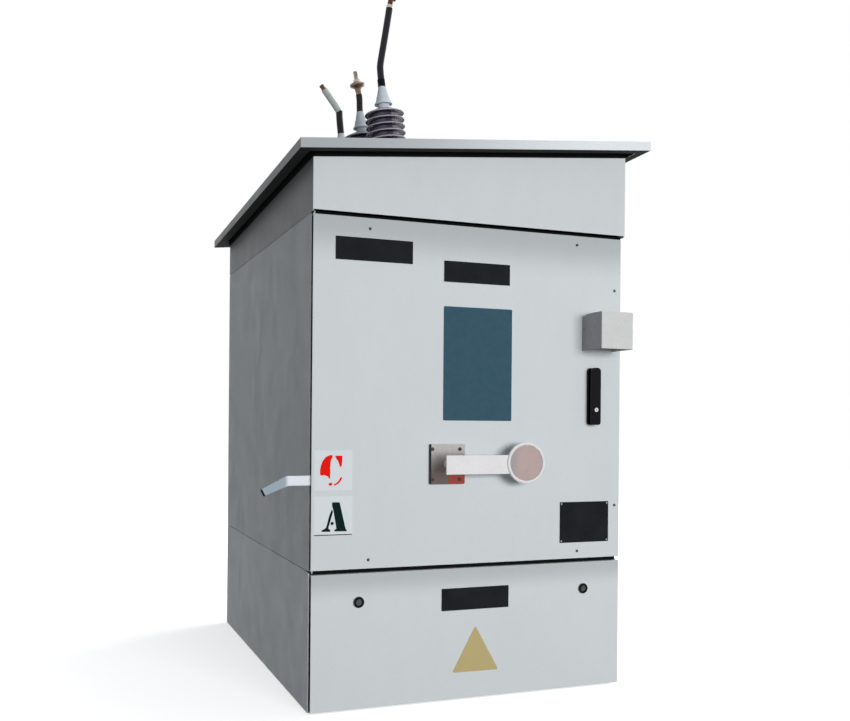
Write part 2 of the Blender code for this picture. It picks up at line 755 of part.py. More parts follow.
def build_connectors(tops, first_end, third_end):
    """The bare ends: a palm lug, a clamp with its stud, and a plain stub."""
    before, after = (tops[0] + Vector(offset) for offset in first_end)
    along = (after - before).normalized()
    start = after + along * CONTACT
    lug = rod("lug_1", start, start + along * 0.030, LEAD_RADIUS * 0.8, COPPER)
    palm = outline_mesh(
        "palm",
        rounded_rectangle(0.032, 0.041, 0.006),
        0.006,
        Matrix.Translation(start + along * 0.0455)
        @ (Matrix.Rotation(math.atan2(along.x, along.z), 4, "Y") @ facing_front(0, 0, 0)),
    )
    boolean(lug, palm, "UNION")
    clamp = [
        (0, 0.075),
        (0.005, 0.075),
        (0.008, 0.070),
        (0.008, 0.040),
        (0.014, 0.038),
        (0.024, 0.034),
        (0.024, 0.026),
        (0.014, 0.022),
        (0.008, 0.004),
        (0.008, CONTACT),
        (0, CONTACT),
    ]
    on_sleeve = Matrix.Translation(tops[1] + CLAMP_FOOT) @ Matrix.Rotation(CLAMP_LEAN, 4, "Y")
    turned("clamp_2", clamp, BRONZE, on_sleeve)
    before, after = (tops[2] + Vector(offset) for offset in third_end)
    along = (after - before).normalized()
    start = after + along * CONTACT
    rod("stub_3", start, start + along * 0.018, 0.008, COPPER)


# ---------------------------------------------------------------- three-pole switch


def build_switch():
    plate_z = (LOWER_SEAM + SIDE_SEAM / 2, SWITCH_Z + BLADE_REACH + 2 * POLE_ARM)
    plate_y = (PHASES[0] - BEARING_FROM_POLE - BEARING_THICKNESS, BACK - WALL - CONTACT)
    box(
        "switch_plate",
        (SWITCH_PLATE_X, plate_y[0], plate_z[0]),
        (SWITCH_PLATE_X + WALL, plate_y[1], plate_z[1]),
        GREY_PAINT,
    )
    for number, phase in enumerate(PHASES, 1):
        build_pole(number, phase)

    bearings = {
        "front": PHASES[0] - BEARING_FROM_POLE - BEARING_THICKNESS,
        "rear": PHASES[-1] + BEARING_FROM_POLE,
    }
    for end, low_y in bearings.items():
        bearing = box(
            f"shaft_bearing_{end}",
            (SWITCH_X - BEARING_HEIGHT / 2, low_y, SWITCH_Z - BEARING_HEIGHT / 2),
            (SWITCH_PLATE_X - CONTACT, low_y + BEARING_THICKNESS, SWITCH_Z + BEARING_HEIGHT / 2),
            ZINC,
        )
        cut_rod(
            bearing,
            (SWITCH_X, low_y - BEARING_THICKNESS, SWITCH_Z),
            (SWITCH_X, low_y + 2 * BEARING_THICKNESS, SWITCH_Z),
            SHAFT_RADIUS + RUNNING,
        )

    shaft_end = PHASES[-1] + SHAFT_PAST_POLE
    shaft = rod(
        "switch_shaft",
        (SWITCH_X, FRONT + SHAFT_START, SWITCH_Z),
        (SWITCH_X, shaft_end, SWITCH_Z),
        SHAFT_RADIUS,
        RESIN,
    )
    blades = []
    for number, phase in enumerate(PHASES, 1):
        half = Vector((BLADE_WIDTH / 2, BLADE_THICKNESS / 2, BLADE_REACH))
        centre = Vector((SWITCH_X, phase, SWITCH_Z))
        room = half + Vector((CONTACT, CONTACT, 0))
        cut_box(shaft, centre - room, centre + room)
        blades.append(box(f"contact_blade_{number}", centre - half, centre + half, COPPER))
    axis = axis_empty("switch_axis", (SWITCH_X, FRONT + SHAFT_START, SWITCH_Z))
    carry(axis, [shaft, *blades])

    middle = (PHASES[1] + PHASES[2]) / 2
    low = Vector((SWITCH_PLATE_X + WALL + CONTACT, middle - TRANSFORMER_DEPTH / 2, SWITCH_Z - 0.1))
    size = Vector((TRANSFORMER_WIDTH, TRANSFORMER_DEPTH, TRANSFORMER_HEIGHT))
    transformer = box("voltage_transformer", low, low + size, RESIN)
    rounded(transformer, 0.012)
    for share in (0.25, 0.75):
        x, y = low.x + size.x / 2, low.y + size.y * share
        join_rod(
            transformer, (x, y, low.z + size.z / 2), (x, y, low.z + size.z + 0.050), 0.022
        )


def build_pole(number, phase):
    """One pole: a moulded support with two arms, and the upper and lower busbars with forks."""
    arm_start = SWITCH_X + BUSBAR_WIDTH / 2 + CONTACT
    arm_gap = BLADE_REACH + FORK_DEPTH / 2
    half_width = POLE_WIDTH / 2
    support = box(
        f"pole_support_{number}",
        (arm_start, phase - half_width, SWITCH_Z - arm_gap - POLE_ARM),
        (SWITCH_PLATE_X - CONTACT, phase + half_width, SWITCH_Z + arm_gap + POLE_ARM),
        RESIN,
    )
    cut_box(
        support,
        (LEFT, phase - POLE_WIDTH, SWITCH_Z - arm_gap),
        (SWITCH_PLATE_X - CONTACT - POLE_ARM, phase + POLE_WIDTH, SWITCH_Z + arm_gap),
    )

    half = Vector((BUSBAR_WIDTH / 2, BUSBAR_THICKNESS / 2, 0))
    slot = Vector((BUSBAR_WIDTH, BLADE_THICKNESS / 2 + RUNNING, 0))
    stud_end = roof_place(phase, -BUSHING_STEM - STUD).translation
    upper_z = (SWITCH_Z + BLADE_REACH - FORK_DEPTH, stud_end.z - 2 * STUD_RADIUS * ROOF_SLOPE_X)
    lower_z = (SWITCH_Z - BLADE_REACH - LOWER_BUSBAR, SWITCH_Z - BLADE_REACH + FORK_DEPTH)
    slot_z = {
        "upper": (upper_z[0] - FORK_DEPTH, SWITCH_Z + BLADE_REACH + 2 * RUNNING),
        "lower": (SWITCH_Z - BLADE_REACH - 2 * RUNNING, lower_z[1] + FORK_DEPTH),
    }
    centre = Vector((SWITCH_X, phase, 0))
    for level, (low_z, high_z) in (("upper", upper_z), ("lower", lower_z)):
        busbar = box(
            f"{level}_busbar_{number}",
            centre - half + Vector((0, 0, low_z)),
            centre + half + Vector((0, 0, high_z)),
            COPPER,
        )
        cut_low, cut_high = slot_z[level]
        cut_box(
            busbar,
            centre - slot + Vector((0, 0, cut_low)),
            centre + slot + Vector((0, 0, cut_high)),
        )


# ---------------------------------------------------------------- door


def build_door():
    door = box(
        "door",
        (LEFT + DOOR_EDGE_GAP, FRONT, DOOR_BOTTOM),
        (RIGHT - RIGHT_EDGE_GAP, FRONT + SKIN + FOLD_DEPTH, DOOR_TOP),
        GREY_PAINT,
    )
    cut_box(
        door,
        (LEFT - SKIN, FRONT + SKIN, DOOR_BOTTOM + SKIN),
        (RIGHT - RIGHT_EDGE_GAP - SKIN, FRAME_FACE, DOOR_TOP - SKIN),
    )
    shaft_hole = HANDLE_SHAFT_RADIUS + RUNNING
    cut_rod(door, (SWITCH_X, FRONT - 1, SWITCH_Z), (SWITCH_X, FRAME_FACE, SWITCH_Z), shaft_hole)
    spindle_hole = LOCK_SPINDLE_RADIUS + RUNNING
    cut_rod(door, (LOCK_X, FRONT - 1, SPINDLE_Z), (LOCK_X, FRAME_FACE, SPINDLE_Z), spindle_hole)

    upper_pin = rod(
        "door_pivot_upper",
        (DOOR_PIVOT.x, DOOR_PIVOT.y, DOOR_TOP + CONTACT),
        (DOOR_PIVOT.x, DOOR_PIVOT.y, DOOR_TOP + PIVOT_LENGTH),
        PIVOT_RADIUS,
        ZINC,
    )
    lower_pin = rod(
        "door_pivot_lower",
        (DOOR_PIVOT.x, DOOR_PIVOT.y, DOOR_BOTTOM - PIVOT_LENGTH),
        (DOOR_PIVOT.x, DOOR_PIVOT.y, DOOR_BOTTOM - CONTACT),
        PIVOT_RADIUS,
        ZINC,
    )
    plate = outline_mesh(
        "handle_plate",
        rounded_rectangle(HANDLE_PLATE_WIDTH, HANDLE_PLATE_HEIGHT, 0.003, 2),
        HANDLE_PLATE_DEPTH - CONTACT,
        facing_front(SWITCH_X, FRONT - (HANDLE_PLATE_DEPTH + CONTACT) / 2, SWITCH_Z),
    )
    handle_plate = add("handle_plate", plate, SATIN_STEEL)
    cut_rod(handle_plate, (SWITCH_X, FRONT - 1, SWITCH_Z), (SWITCH_X, FRONT, SWITCH_Z), shaft_hole)

    housing = outline_mesh(
        "lock_housing",
        rounded_rectangle(LOCK_WIDTH, LOCK_HEIGHT, 0.006, 3),
        LOCK_HOUSING_DEPTH - CONTACT,
        facing_front(LOCK_X, FRONT - (LOCK_HOUSING_DEPTH + CONTACT) / 2, LOCK_Z + LOCK_HEIGHT / 2),
    )
    lock_housing = add("lock_housing", housing, BLACK_PLASTIC)
    cut_rod(
        lock_housing, (LOCK_X, FRONT - 1, SPINDLE_Z), (LOCK_X, FRONT, SPINDLE_Z), spindle_hole
    )

    hood = build_hood()
    axis = axis_empty("door_axis", DOOR_PIVOT)
    carry(axis, [door, upper_pin, lower_pin, handle_plate, lock_housing, hood])
    build_handle(axis)
    build_lock(axis)


def hood_outline(inset):
    """The hood's side outline from its lower back corner, as (distance in front, height)."""
    depth = HOOD_DEPTH - inset
    top = HOOD_HEIGHT - inset
    back_top = top - HOOD_BACK_DROP
    low = -0.010 if inset else 0
    back = -0.010 if inset else CONTACT
    outline = [(back, low), (depth, low), (depth, top)]
    for i in range(5):
        angle = math.pi / 2 * (1 + i / 4)
        outline.append(
            (
                HOOD_BACK_RADIUS * (1 + math.cos(angle)) + back,
                back_top + HOOD_BACK_DROP * math.sin(angle),
            )
        )
    return outline


def build_hood():
    """The rain hood over the padlock: a bent sheet, open below and at the door."""
    centre_x = RIGHT - HOOD_FROM_RIGHT
    bottom = LOWER_SEAM + HOOD_BOTTOM
    # The outline's X runs forward, its Y up, and its depth across the door.
    place = Matrix(((0, 0, -1, centre_x), (-1, 0, 0, FRONT), (0, 1, 0, bottom), (0, 0, 0, 1)))
    hood = add("padlock_hood", outline_mesh("hood", hood_outline(0), HOOD_WIDTH, place), ZINC)
    inside = outline_mesh("cut", hood_outline(HOOD_WALL), HOOD_WIDTH - 2 * HOOD_WALL, place)
    boolean(hood, inside, "DIFFERENCE")
    return hood


def build_handle(door_axis):
    """The rotary handle: a shaft through the door, an arm with its hub, and the end disc."""
    hub_back = FRONT - HANDLE_PLATE_DEPTH - RUNNING
    arm_back = FRONT - HANDLE_STANDOFF
    arm_front = arm_back - HANDLE_ARM_DEPTH
    disc_x = SWITCH_X + HANDLE_REACH
    disc_z = SWITCH_Z + DISC_RISE
    arm_end = disc_x - DISC_RADIUS * 0.80
    half = HANDLE_ARM_HEIGHT / 2
    arm = box(
        "handle_arm",
        (SWITCH_X - half, arm_front, SWITCH_Z - half),
        (arm_end, arm_back, SWITCH_Z + half),
        WHITE_PAINT,
    )
    join_rod(
        arm,
        (SWITCH_X, hub_back, SWITCH_Z),
        (SWITCH_X, (arm_back + arm_front) / 2, SWITCH_Z),
        HANDLE_HUB_RADIUS,
    )
    disc_back = FRONT - DISC_STANDOFF
    disc_front = disc_back - DISC_DEPTH
    cut_rod(
        arm,
        (disc_x, FRONT, disc_z),
        (disc_x, disc_front - DISC_DEPTH, disc_z),
        DISC_RADIUS + CONTACT,
        DISC_STEPS,
    )
    disc = rod(
        "handle_disc",
        (disc_x, disc_back, disc_z),
        (disc_x, disc_front, disc_z),
        DISC_RADIUS,
        POLISHED_STEEL,
        DISC_STEPS,
    )
    cut_rod(
        disc,
        (disc_x, disc_front + DISC_RIM / 3, disc_z),
        (disc_x, disc_front - DISC_RIM, disc_z),
        DISC_RADIUS - DISC_RIM,
        DISC_STEPS,
    )
    shaft = rod(
        "handle_shaft",
        (SWITCH_X, hub_back + CONTACT, SWITCH_Z),
        (SWITCH_X, FRONT + SHAFT_START - RUNNING, SWITCH_Z),
        HANDLE_SHAFT_RADIUS,
        ZINC,
    )
    axis = axis_empty("handle_axis", (SWITCH_X, FRONT, SWITCH_Z), door_axis)
    carry(axis, [arm, disc, shaft])


def build_lock(door_axis):
    """The swing handle: spindle with cam, lever that lifts off, key cylinder and two rods."""
    housing_front = FRONT - LOCK_HOUSING_DEPTH
    lever_back = housing_front - RUNNING
    lever_front = lever_back - LOCK_LEVER_DEPTH
    ear_half = LOCK_WIDTH / 6
    pivot_y = (lever_back + lever_front) / 2
    pivot = Vector((LOCK_X, pivot_y, SPINDLE_Z))

    cam_y = FRONT + LOCK_CAM_DEPTH
    spindle = rod(
        "lock_spindle",
        (LOCK_X, lever_back + 0.002, SPINDLE_Z),
        (LOCK_X, cam_y + WALL / 2, SPINDLE_Z),
        LOCK_SPINDLE_RADIUS,
        ZINC,
    )
    join_rod(
        spindle, (LOCK_X, cam_y, SPINDLE_Z), (LOCK_X, cam_y + WALL, SPINDLE_Z), LOCK_CAM_RADIUS
    )
    join_box(
        spindle,
        (LOCK_X - ear_half, pivot_y - ear_half, SPINDLE_Z - ear_half),
        (LOCK_X + ear_half, lever_back + 0.004, SPINDLE_Z + ear_half),
    )
    trunnion = LOCK_WIDTH / 2 - 0.004
    trunnion_radius = 0.0025
    join_rod(
        spindle,
        (LOCK_X - trunnion, pivot_y, SPINDLE_Z),
        (LOCK_X + trunnion, pivot_y, SPINDLE_Z),
        trunnion_radius,
    )

    # The lever's top end is cut away round the spindle's ear, so it can lift and turn.
    lever_mesh = outline_mesh(
        "swing_lever",
        rounded_rectangle(LOCK_WIDTH, LOCK_HEIGHT, 0.006, 3),
        LOCK_LEVER_DEPTH,
        facing_front(LOCK_X, pivot_y, LOCK_Z + LOCK_HEIGHT / 2),
    )
    lever = add("swing_lever", lever_mesh, BLACK_PLASTIC)
    gap = ear_half + 2 * RUNNING
    cut_box(
        lever,
        (LOCK_X - gap, pivot_y - 2.2 * ear_half, SPINDLE_Z - 2.4 * ear_half),
        (LOCK_X + gap, FRONT, LOCK_Z + LOCK_HEIGHT - 2 * RUNNING),
    )
    cut_rod(
        lever,
        (LOCK_X - trunnion - RUNNING, pivot_y, SPINDLE_Z),
        (LOCK_X + trunnion + RUNNING, pivot_y, SPINDLE_Z),
        trunnion_radius + RUNNING,
    )
    # A sloping heel lets the lever's top end pass the housing as it lifts.
    heel = box_mesh(
        "cut",
        (-LOCK_WIDTH, LOCK_LEVER_DEPTH / 2 - CONTACT, -LOCK_HEIGHT),
        (LOCK_WIDTH, LOCK_HEIGHT, LOCK_HEIGHT),
    )
    heel.transform(Matrix.Translation(pivot) @ Matrix.Rotation(LEVER_LIFT, 4, "X"))
    boolean(lever, heel, "DIFFERENCE")
    cut_rod(
        lever,
        (LOCK_X, lever_front - RUNNING, KEY_Z),
        (LOCK_X, lever_front + 0.014, KEY_Z),
        KEY_RADIUS + RUNNING,
    )
    key = rod(
        "key_cylinder",
        (LOCK_X, lever_front - 0.001, KEY_Z),
        (LOCK_X, lever_front + 0.0135, KEY_Z),
        KEY_RADIUS,
        CHROME,
    )

    turn_axis = axis_empty("lock_axis", (LOCK_X, FRONT, SPINDLE_Z), door_axis)
    carry(turn_axis, [spindle])
    lift_axis = axis_empty("lever_lift_axis", pivot, turn_axis)
    carry(lift_axis, [lever])
    key_axis = axis_empty("key_axis", (LOCK_X, lever_front, KEY_Z), lift_axis)
    carry(key_axis, [key])

    rod_y = cam_y + WALL + CONTACT + ROD_RADIUS
    overlap = LOCK_CAM_RADIUS / 2
    ends = {
        "upper": (SPINDLE_Z + overlap, UPPER_SEAM - SILL - ROD_TIP_GAP),
        "lower": (LOWER_SEAM + RAIL_ABOVE_SEAM + ROD_TIP_GAP, SPINDLE_Z - overlap),
    }
    for end, (low_z, high_z) in ends.items():
        lock_rod = rod(
            f"lock_rod_{end}", (LOCK_X, rod_y, low_z), (LOCK_X, rod_y, high_z), ROD_RADIUS, ZINC
        )
        rod_axis = axis_empty(f"{end}_rod_axis", (LOCK_X, rod_y, SPINDLE_Z), door_axis)
        carry(rod_axis, [lock_rod])


# ---------------------------------------------------------------- control cover


def build_cover():
    """The drop-down cover of the control bay, with knuckles at its foot and two turn locks."""
    cover_top = LOWER_SEAM - FRONT_SEAM / 2
    foot = COVER_EDGE_GAP
    right = RIGHT - RIGHT_EDGE_GAP
    cover = box(
        "control_cover",
        (LEFT + COVER_EDGE_GAP, FRONT, foot),
        (right, FRONT + SKIN + FOLD_DEPTH, cover_top),
        GREY_PAINT,
    )
    low_fold = COVER_PIVOT_HEIGHT + 2 * COVER_KNUCKLE_RADIUS
    cut_box(
        cover,
        (LEFT, FRONT + SKIN, low_fold),
        (right - SKIN, FRAME_FACE, cover_top - SKIN),
    )
    cut_box(cover, (LEFT, FRONT + SKIN, 0), (RIGHT, FRAME_FACE, low_fold + SKIN))
    pin_y = FRONT + COVER_PIVOT_DEPTH
    for sign in (-1, 1):
        start = sign * (WIDTH / 2 - COVER_HINGE_FROM_SIDE - PIVOT_LUG - CONTACT)
        end = start - sign * COVER_KNUCKLE_LENGTH
        join_rod(
            cover,
            (start, pin_y, COVER_PIVOT_HEIGHT),
            (end, pin_y, COVER_PIVOT_HEIGHT),
            COVER_KNUCKLE_RADIUS,
        )
        cut_rod(
            cover,
            (start + sign * SKIN, pin_y, COVER_PIVOT_HEIGHT),
            (end - sign * SKIN, pin_y, COVER_PIVOT_HEIGHT),
            COVER_PIN_RADIUS + CONTACT,
        )
    for x in TURN_LOCKS.values():
        cut_rod(
            cover,
            (x, FRONT - SKIN, TURN_LOCK_Z),
            (x, FRONT + 2 * SKIN, TURN_LOCK_Z),
            TURN_LOCK_BARREL_RADIUS + CONTACT,
        )
    axis = axis_empty("cover_axis", (0, pin_y, COVER_PIVOT_HEIGHT))
    carry(axis, [cover])

    for side, x in TURN_LOCKS.items():
        head = rod(
            f"turn_lock_{side}",
            (x, FRONT - CONTACT, TURN_LOCK_Z),
            (x, FRONT - CONTACT - TURN_LOCK_HEAD, TURN_LOCK_Z),
            TURN_LOCK_HEAD_RADIUS,
            SATIN_STEEL,
        )
        barrel_end = FRAME_FACE + 2 * WALL + RUNNING
        inward = -math.copysign(TURN_LOCK_TONGUE, x)
        join_rod(
            head,
            (x, FRONT - TURN_LOCK_HEAD / 2, TURN_LOCK_Z),
            (x, barrel_end, TURN_LOCK_Z),
            TURN_LOCK_BARREL_RADIUS,
        )
        join_box(
            head,
            (min(x, x + inward), barrel_end - WALL, TURN_LOCK_Z - TURN_LOCK_BARREL_RADIUS),
            (max(x, x + inward), barrel_end, TURN_LOCK_Z + TURN_LOCK_BARREL_RADIUS),
        )
        lock_axis = axis_empty(f"{side}_turn_lock_axis", (x, FRONT, TURN_LOCK_Z), axis)
        carry(lock_axis, [head])


# ---------------------------------------------------------------- side lever


def lever_ring(shape, centre, along, side):
    """Four corners of the lever's section at a point of its line."""
    along = along.normalized()
    side = (side - along * side.dot(along)).normalized()
    across = along.cross(side).normalized()
    corners = ((-1, -1), (1, -1), (1, 1), (-1, 1))
    return [
        shape.verts.new(
            centre + side * a * LEVER_THICKNESS / 2 + across * b * LEVER_HEIGHT / 2
        )
        for a, b in corners
    ]


def build_lever():
    """The release lever: a flat bar bent back and down, on a shaft through the front frame."""
    middle_y = FRONT + LEVER_FRONT_GAP + LEVER_THICKNESS / 2
    pivot = Vector((LEVER_X, middle_y, LEVER_Z))
    bend = pivot + Vector((-LEVER_STRAIGHT, 0, 0))
    tip = bend + Vector(LEVER_TIP)

    def build(shape):
        first = Vector((-1, 0, 0))
        second = (tip - bend).normalized()
        toward_door = Vector((0, -1, 0))
        rings = [
            lever_ring(shape, pivot, first, toward_door),
            lever_ring(shape, bend, first + second, toward_door),
            lever_ring(shape, tip, second, toward_door),
        ]
        for ring, following in zip(rings, rings[1:]):
            for i in range(4):
                j = (i + 1) % 4
                shape.faces.new((ring[i], ring[j], following[j], following[i]))
        shape.faces.new(rings[0][::-1])
        shape.faces.new(rings[-1])
        bmesh.ops.recalc_face_normals(shape, faces=shape.faces)

    lever = add("side_lever", mesh_of("side_lever", build), WHITE_PAINT)
    half = Vector((0, LEVER_THICKNESS / 2, 0))
    join_rod(lever, pivot - half, pivot + half, LEVER_HUB_RADIUS)

    shaft_start = pivot + half + Vector((0, CONTACT, 0))
    shaft_end = shaft_start + Vector((0, LEVER_SHAFT_LENGTH, 0))
    shaft = rod("lever_shaft", shaft_start, shaft_end, LEVER_SHAFT_RADIUS, ZINC)
    crank_half = LEVER_SHAFT_RADIUS
    join_box(
        shaft,
        shaft_end - Vector((crank_half, 2 * WALL, LEVER_CRANK)),
        shaft_end + Vector((crank_half, 0, crank_half)),
    )
    axis = axis_empty("lever_axis", pivot)
    carry(axis, [lever, shaft])


build_base()
build_frame()
build_walls()
build_skirt_and_roof()
build_bushings()
build_switch()
build_door()
build_cover()
build_lever()
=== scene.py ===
"""The finished look of an outdoor medium-voltage switch cubicle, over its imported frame.

Sheet metal keeps its frame shape and gets deburred, softly folded edges. The insulators, leads,
handles, locks, plates and fasteners are modelled here, and every finish is procedural.
"""

import json
import math

import bmesh
import bpy
from mathutils import Matrix, Vector


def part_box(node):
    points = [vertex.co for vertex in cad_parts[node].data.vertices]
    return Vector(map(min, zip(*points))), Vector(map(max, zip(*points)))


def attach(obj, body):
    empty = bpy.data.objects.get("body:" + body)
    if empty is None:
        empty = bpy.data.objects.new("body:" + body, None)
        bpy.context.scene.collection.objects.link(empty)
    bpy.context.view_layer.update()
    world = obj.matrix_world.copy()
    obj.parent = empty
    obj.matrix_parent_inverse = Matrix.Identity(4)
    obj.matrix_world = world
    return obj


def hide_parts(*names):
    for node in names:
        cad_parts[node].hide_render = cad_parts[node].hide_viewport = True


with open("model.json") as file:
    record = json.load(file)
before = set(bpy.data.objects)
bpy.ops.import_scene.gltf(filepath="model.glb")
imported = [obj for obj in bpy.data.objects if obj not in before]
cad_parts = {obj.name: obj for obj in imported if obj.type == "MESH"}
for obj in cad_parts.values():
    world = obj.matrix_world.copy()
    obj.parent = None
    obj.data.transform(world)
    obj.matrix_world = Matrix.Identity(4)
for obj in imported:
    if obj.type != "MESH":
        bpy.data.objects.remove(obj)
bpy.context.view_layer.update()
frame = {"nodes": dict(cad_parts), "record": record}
NODES = frame["nodes"]
BODIES = frame["record"]["behaviour"]["bodies"]
BODY_OF = {node: body for body, members in BODIES.items() for node in members}
SLOT_OF = {entry["node"]: entry["material_slot"] for entry in frame["record"]["subparts"]}

SHELL_LOW, SHELL_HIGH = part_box("base_shell")
LEFT, RIGHT, BACK = SHELL_LOW[0], SHELL_HIGH[0], SHELL_HIGH[1]
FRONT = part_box("door")[0][1]
BODY_FOOT, BODY_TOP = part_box("body_left_wall")[0][2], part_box("body_left_wall")[1][2]
ROOF_NORMAL = Vector((-0.100, 0.0245, 1)).normalized()
EAVES_CORNER = Vector((LEFT, FRONT, 1.404))  # on the plane of the roof's underside
MM = 0.001
SKIN = 0.0001  # a piece that lies on a sheet clears it by this
FACING_FRONT = (math.pi / 2, 0, 0)
FACING_BACK = (-math.pi / 2, 0, 0)


def on_door(x, height, proud=0.0):
    """A point on the door side: x from the left edge, height from the pad, proud of the skin."""
    return Vector((LEFT + x, FRONT - proud, height))


# ---- colours and nodes


def srgb(code):
    """An sRGB hex colour as linear RGBA."""
    parts = [int(code[i : i + 2], 16) / 255 for i in (1, 3, 5)]
    return (*[c / 12.92 if c <= 0.04045 else ((c + 0.055) / 1.055) ** 2.4 for c in parts], 1)


def add_node(tree, kind, inputs=None, **settings):
    """Adds a node. An input is given by name or number, as a value or as a socket to link."""
    made = tree.nodes.new(kind)
    for setting, value in settings.items():
        setattr(made, setting, value)
    for key, value in (inputs or {}).items():
        if isinstance(value, bpy.types.NodeSocket):
            tree.links.new(value, made.inputs[key])
        else:
            made.inputs[key].default_value = value
    return made


def new_finish(name, colour, roughness, metallic=0.0, **sockets):
    """A material with its constant values on the shader. Returns it with its tree and shader."""
    material = bpy.data.materials.new(name)
    material.use_nodes = True
    tree = material.node_tree
    shader = tree.nodes["Principled BSDF"]
    shader.inputs["Base Color"].default_value = srgb(colour)
    shader.inputs["Roughness"].default_value = roughness
    shader.inputs["Metallic"].default_value = metallic
    for socket, value in sockets.items():
        shader.inputs[socket.replace("_", " ")].default_value = value
    return material, tree, shader


def grain(tree, size_mm, low=0.0, high=1.0, stretch=(1, 1, 1), detail=3.0, contrast=0.25):
    """A noise with features of a real size, spread between two values. Stretch is along XYZ."""
    place = add_node(tree, "ShaderNodeTexCoord").outputs["Object"]
    mapped = add_node(
        tree, "ShaderNodeMapping", {"Vector": place, "Scale": [1 / s for s in stretch]}
    )
    noise = add_node(
        tree,
        "ShaderNodeTexNoise",
        {"Vector": mapped.outputs[0], "Scale": 1 / (size_mm * MM), "Detail": detail},
    )
    span = {"From Min": 0.5 - contrast, "From Max": 0.5 + contrast, "To Min": low, "To Max": high}
    spread = add_node(tree, "ShaderNodeMapRange", {"Value": noise.outputs[0], **span})
    return spread.outputs[0]


def tint(tree, shader, share, colour):
    """Lays a colour over the base colour so far, where share is high."""
    base = shader.inputs["Base Color"]
    below = base.links[0].from_socket if base.is_linked else tuple(base.default_value)
    mixed = add_node(
        tree, "ShaderNodeMix", {0: share, 6: below, 7: srgb(colour)}, data_type="RGBA"
    )
    tree.links.new(mixed.outputs[2], base)


def mottle(tree, shader, size_mm, share, colour, *pattern, **more):
    """Lays a colour over the base colour in a grain, up to a share."""
    tint(tree, shader, grain(tree, size_mm, 0.0, share, *pattern, **more), colour)


def uneven(tree, shader, *pattern, **more):
    """Lets a grain set the roughness."""
    tree.links.new(grain(tree, *pattern, **more), shader.inputs["Roughness"])


def relief(tree, shader, depth_mm, *pattern, **more):
    """Bumps the surface by a grain that is this deep."""
    before = shader.inputs["Normal"]
    inputs = {"Height": grain(tree, *pattern, **more), "Distance": depth_mm * MM}
    if before.is_linked:
        inputs["Normal"] = before.links[0].from_socket
    bump = add_node(tree, "ShaderNodeBump", inputs)
    tree.links.new(bump.outputs[0], before)


def band(tree, axis, start, end):
    """A smooth share from 0 at one place along an axis to 1 at another."""
    place = add_node(tree, "ShaderNodeTexCoord").outputs["Object"]
    split = add_node(tree, "ShaderNodeSeparateXYZ", {0: place})
    spread = add_node(
        tree,
        "ShaderNodeMapRange",
        {"Value": split.outputs[axis], "From Min": start, "From Max": end},
        interpolation_type="SMOOTHERSTEP",
    )
    return spread.outputs[0]


def seam(tree, height, half_width=0.0011):
    """A share that is near 1 in a thin level line at a height and 0 away from it."""
    place = add_node(tree, "ShaderNodeTexCoord").outputs["Object"]
    split = add_node(tree, "ShaderNodeSeparateXYZ", {0: place})
    off = add_node(tree, "ShaderNodeMath", {0: split.outputs[2], 1: height}, operation="SUBTRACT")
    away = add_node(tree, "ShaderNodeMath", {0: off.outputs[0]}, operation="ABSOLUTE")
    span = {"From Min": half_width, "From Max": half_width * 1.6, "To Min": 0.92, "To Max": 0.0}
    spread = add_node(tree, "ShaderNodeMapRange", {"Value": away.outputs[0], **span})
    return spread.outputs[0]


# ---- finishes


def powder_coat(
    name, colour, painted_shade_bands=(), strength=0.22, seams=(), painted_left_shade=None, skirt=False
):
    """Baked polyester powder on steel: a fine orange-peel skin, faintly clouded by weather.

    Bands of painted shade, (from height, to height), darken the coat below a seam by strength.
    Seams lists the heights at which two sheets meet with a dark joint. A colour for the left is
    painted in as shade that darkens the coat toward the left. On the skirt the left wall is
    painted darker as shade, and a near-black band of painted shade runs along its top, where the
    roof sits down on it.
    """
    material, tree, shader = new_finish(name, colour, 0.46, Specular_IOR_Level=0.12)
    mottle(tree, shader, 210, 0.09, "#AEB4B5", detail=5)
    mottle(tree, shader, 34, 0.07, "#E6EAEA", stretch=(1, 1, 2.5))
    # Dust specks of about a millimetre, drawn at three so that they show at all.
    mottle(tree, shader, 3.2, 0.10, "#9EA4A5", detail=1, contrast=0.12)
    # Painted shade below a seam: darkest at the seam, fading out downward.
    for start, end in painted_shade_bands:
        share = band(tree, 2, end, start)
        shade_share = add_node(tree, "ShaderNodeMath", {0: share, 1: strength}, operation="MULTIPLY")
        tint(tree, shader, shade_share.outputs[0], "#5E6466")
    # Painted shade: the coat is darkened toward the left.
    if painted_left_shade:
        tint(tree, shader, band(tree, 0, RIGHT + 0.02, LEFT - 0.05), painted_left_shade)
    if skirt:
        # The skirt's left wall is painted darker as shade under the eaves.
        tint(tree, shader, band(tree, 0, LEFT + 0.0016, LEFT + 0.0002), "#969A9C")
        # A near-black band of painted shade runs along the skirt's top, just under the roof's
        # underside.
        place = add_node(tree, "ShaderNodeTexCoord").outputs["Object"]
        rise = add_node(
            tree, "ShaderNodeVectorMath", {0: place, 1: ROOF_NORMAL}, operation="DOT_PRODUCT"
        )
        eaves_shade_foot = EAVES_CORNER.dot(ROOF_NORMAL) - 0.003
        span = {"From Min": eaves_shade_foot, "From Max": eaves_shade_foot + 0.001}
        dark_band = add_node(tree, "ShaderNodeMapRange", {"Value": rise.outputs["Value"], **span})
        tint(tree, shader, dark_band.outputs[0], "#121113")
    for height in seams:
        tint(tree, shader, seam(tree, height), "#15171A")
    uneven(tree, shader, 60, 0.40, 0.54)
    # Orange peel has a pitch of 1 to 2 mm and a depth of a few micrometres.
    relief(tree, shader, 0.02, 1.6, detail=1)
    relief(tree, shader, 0.22, 260, detail=1)
    return material


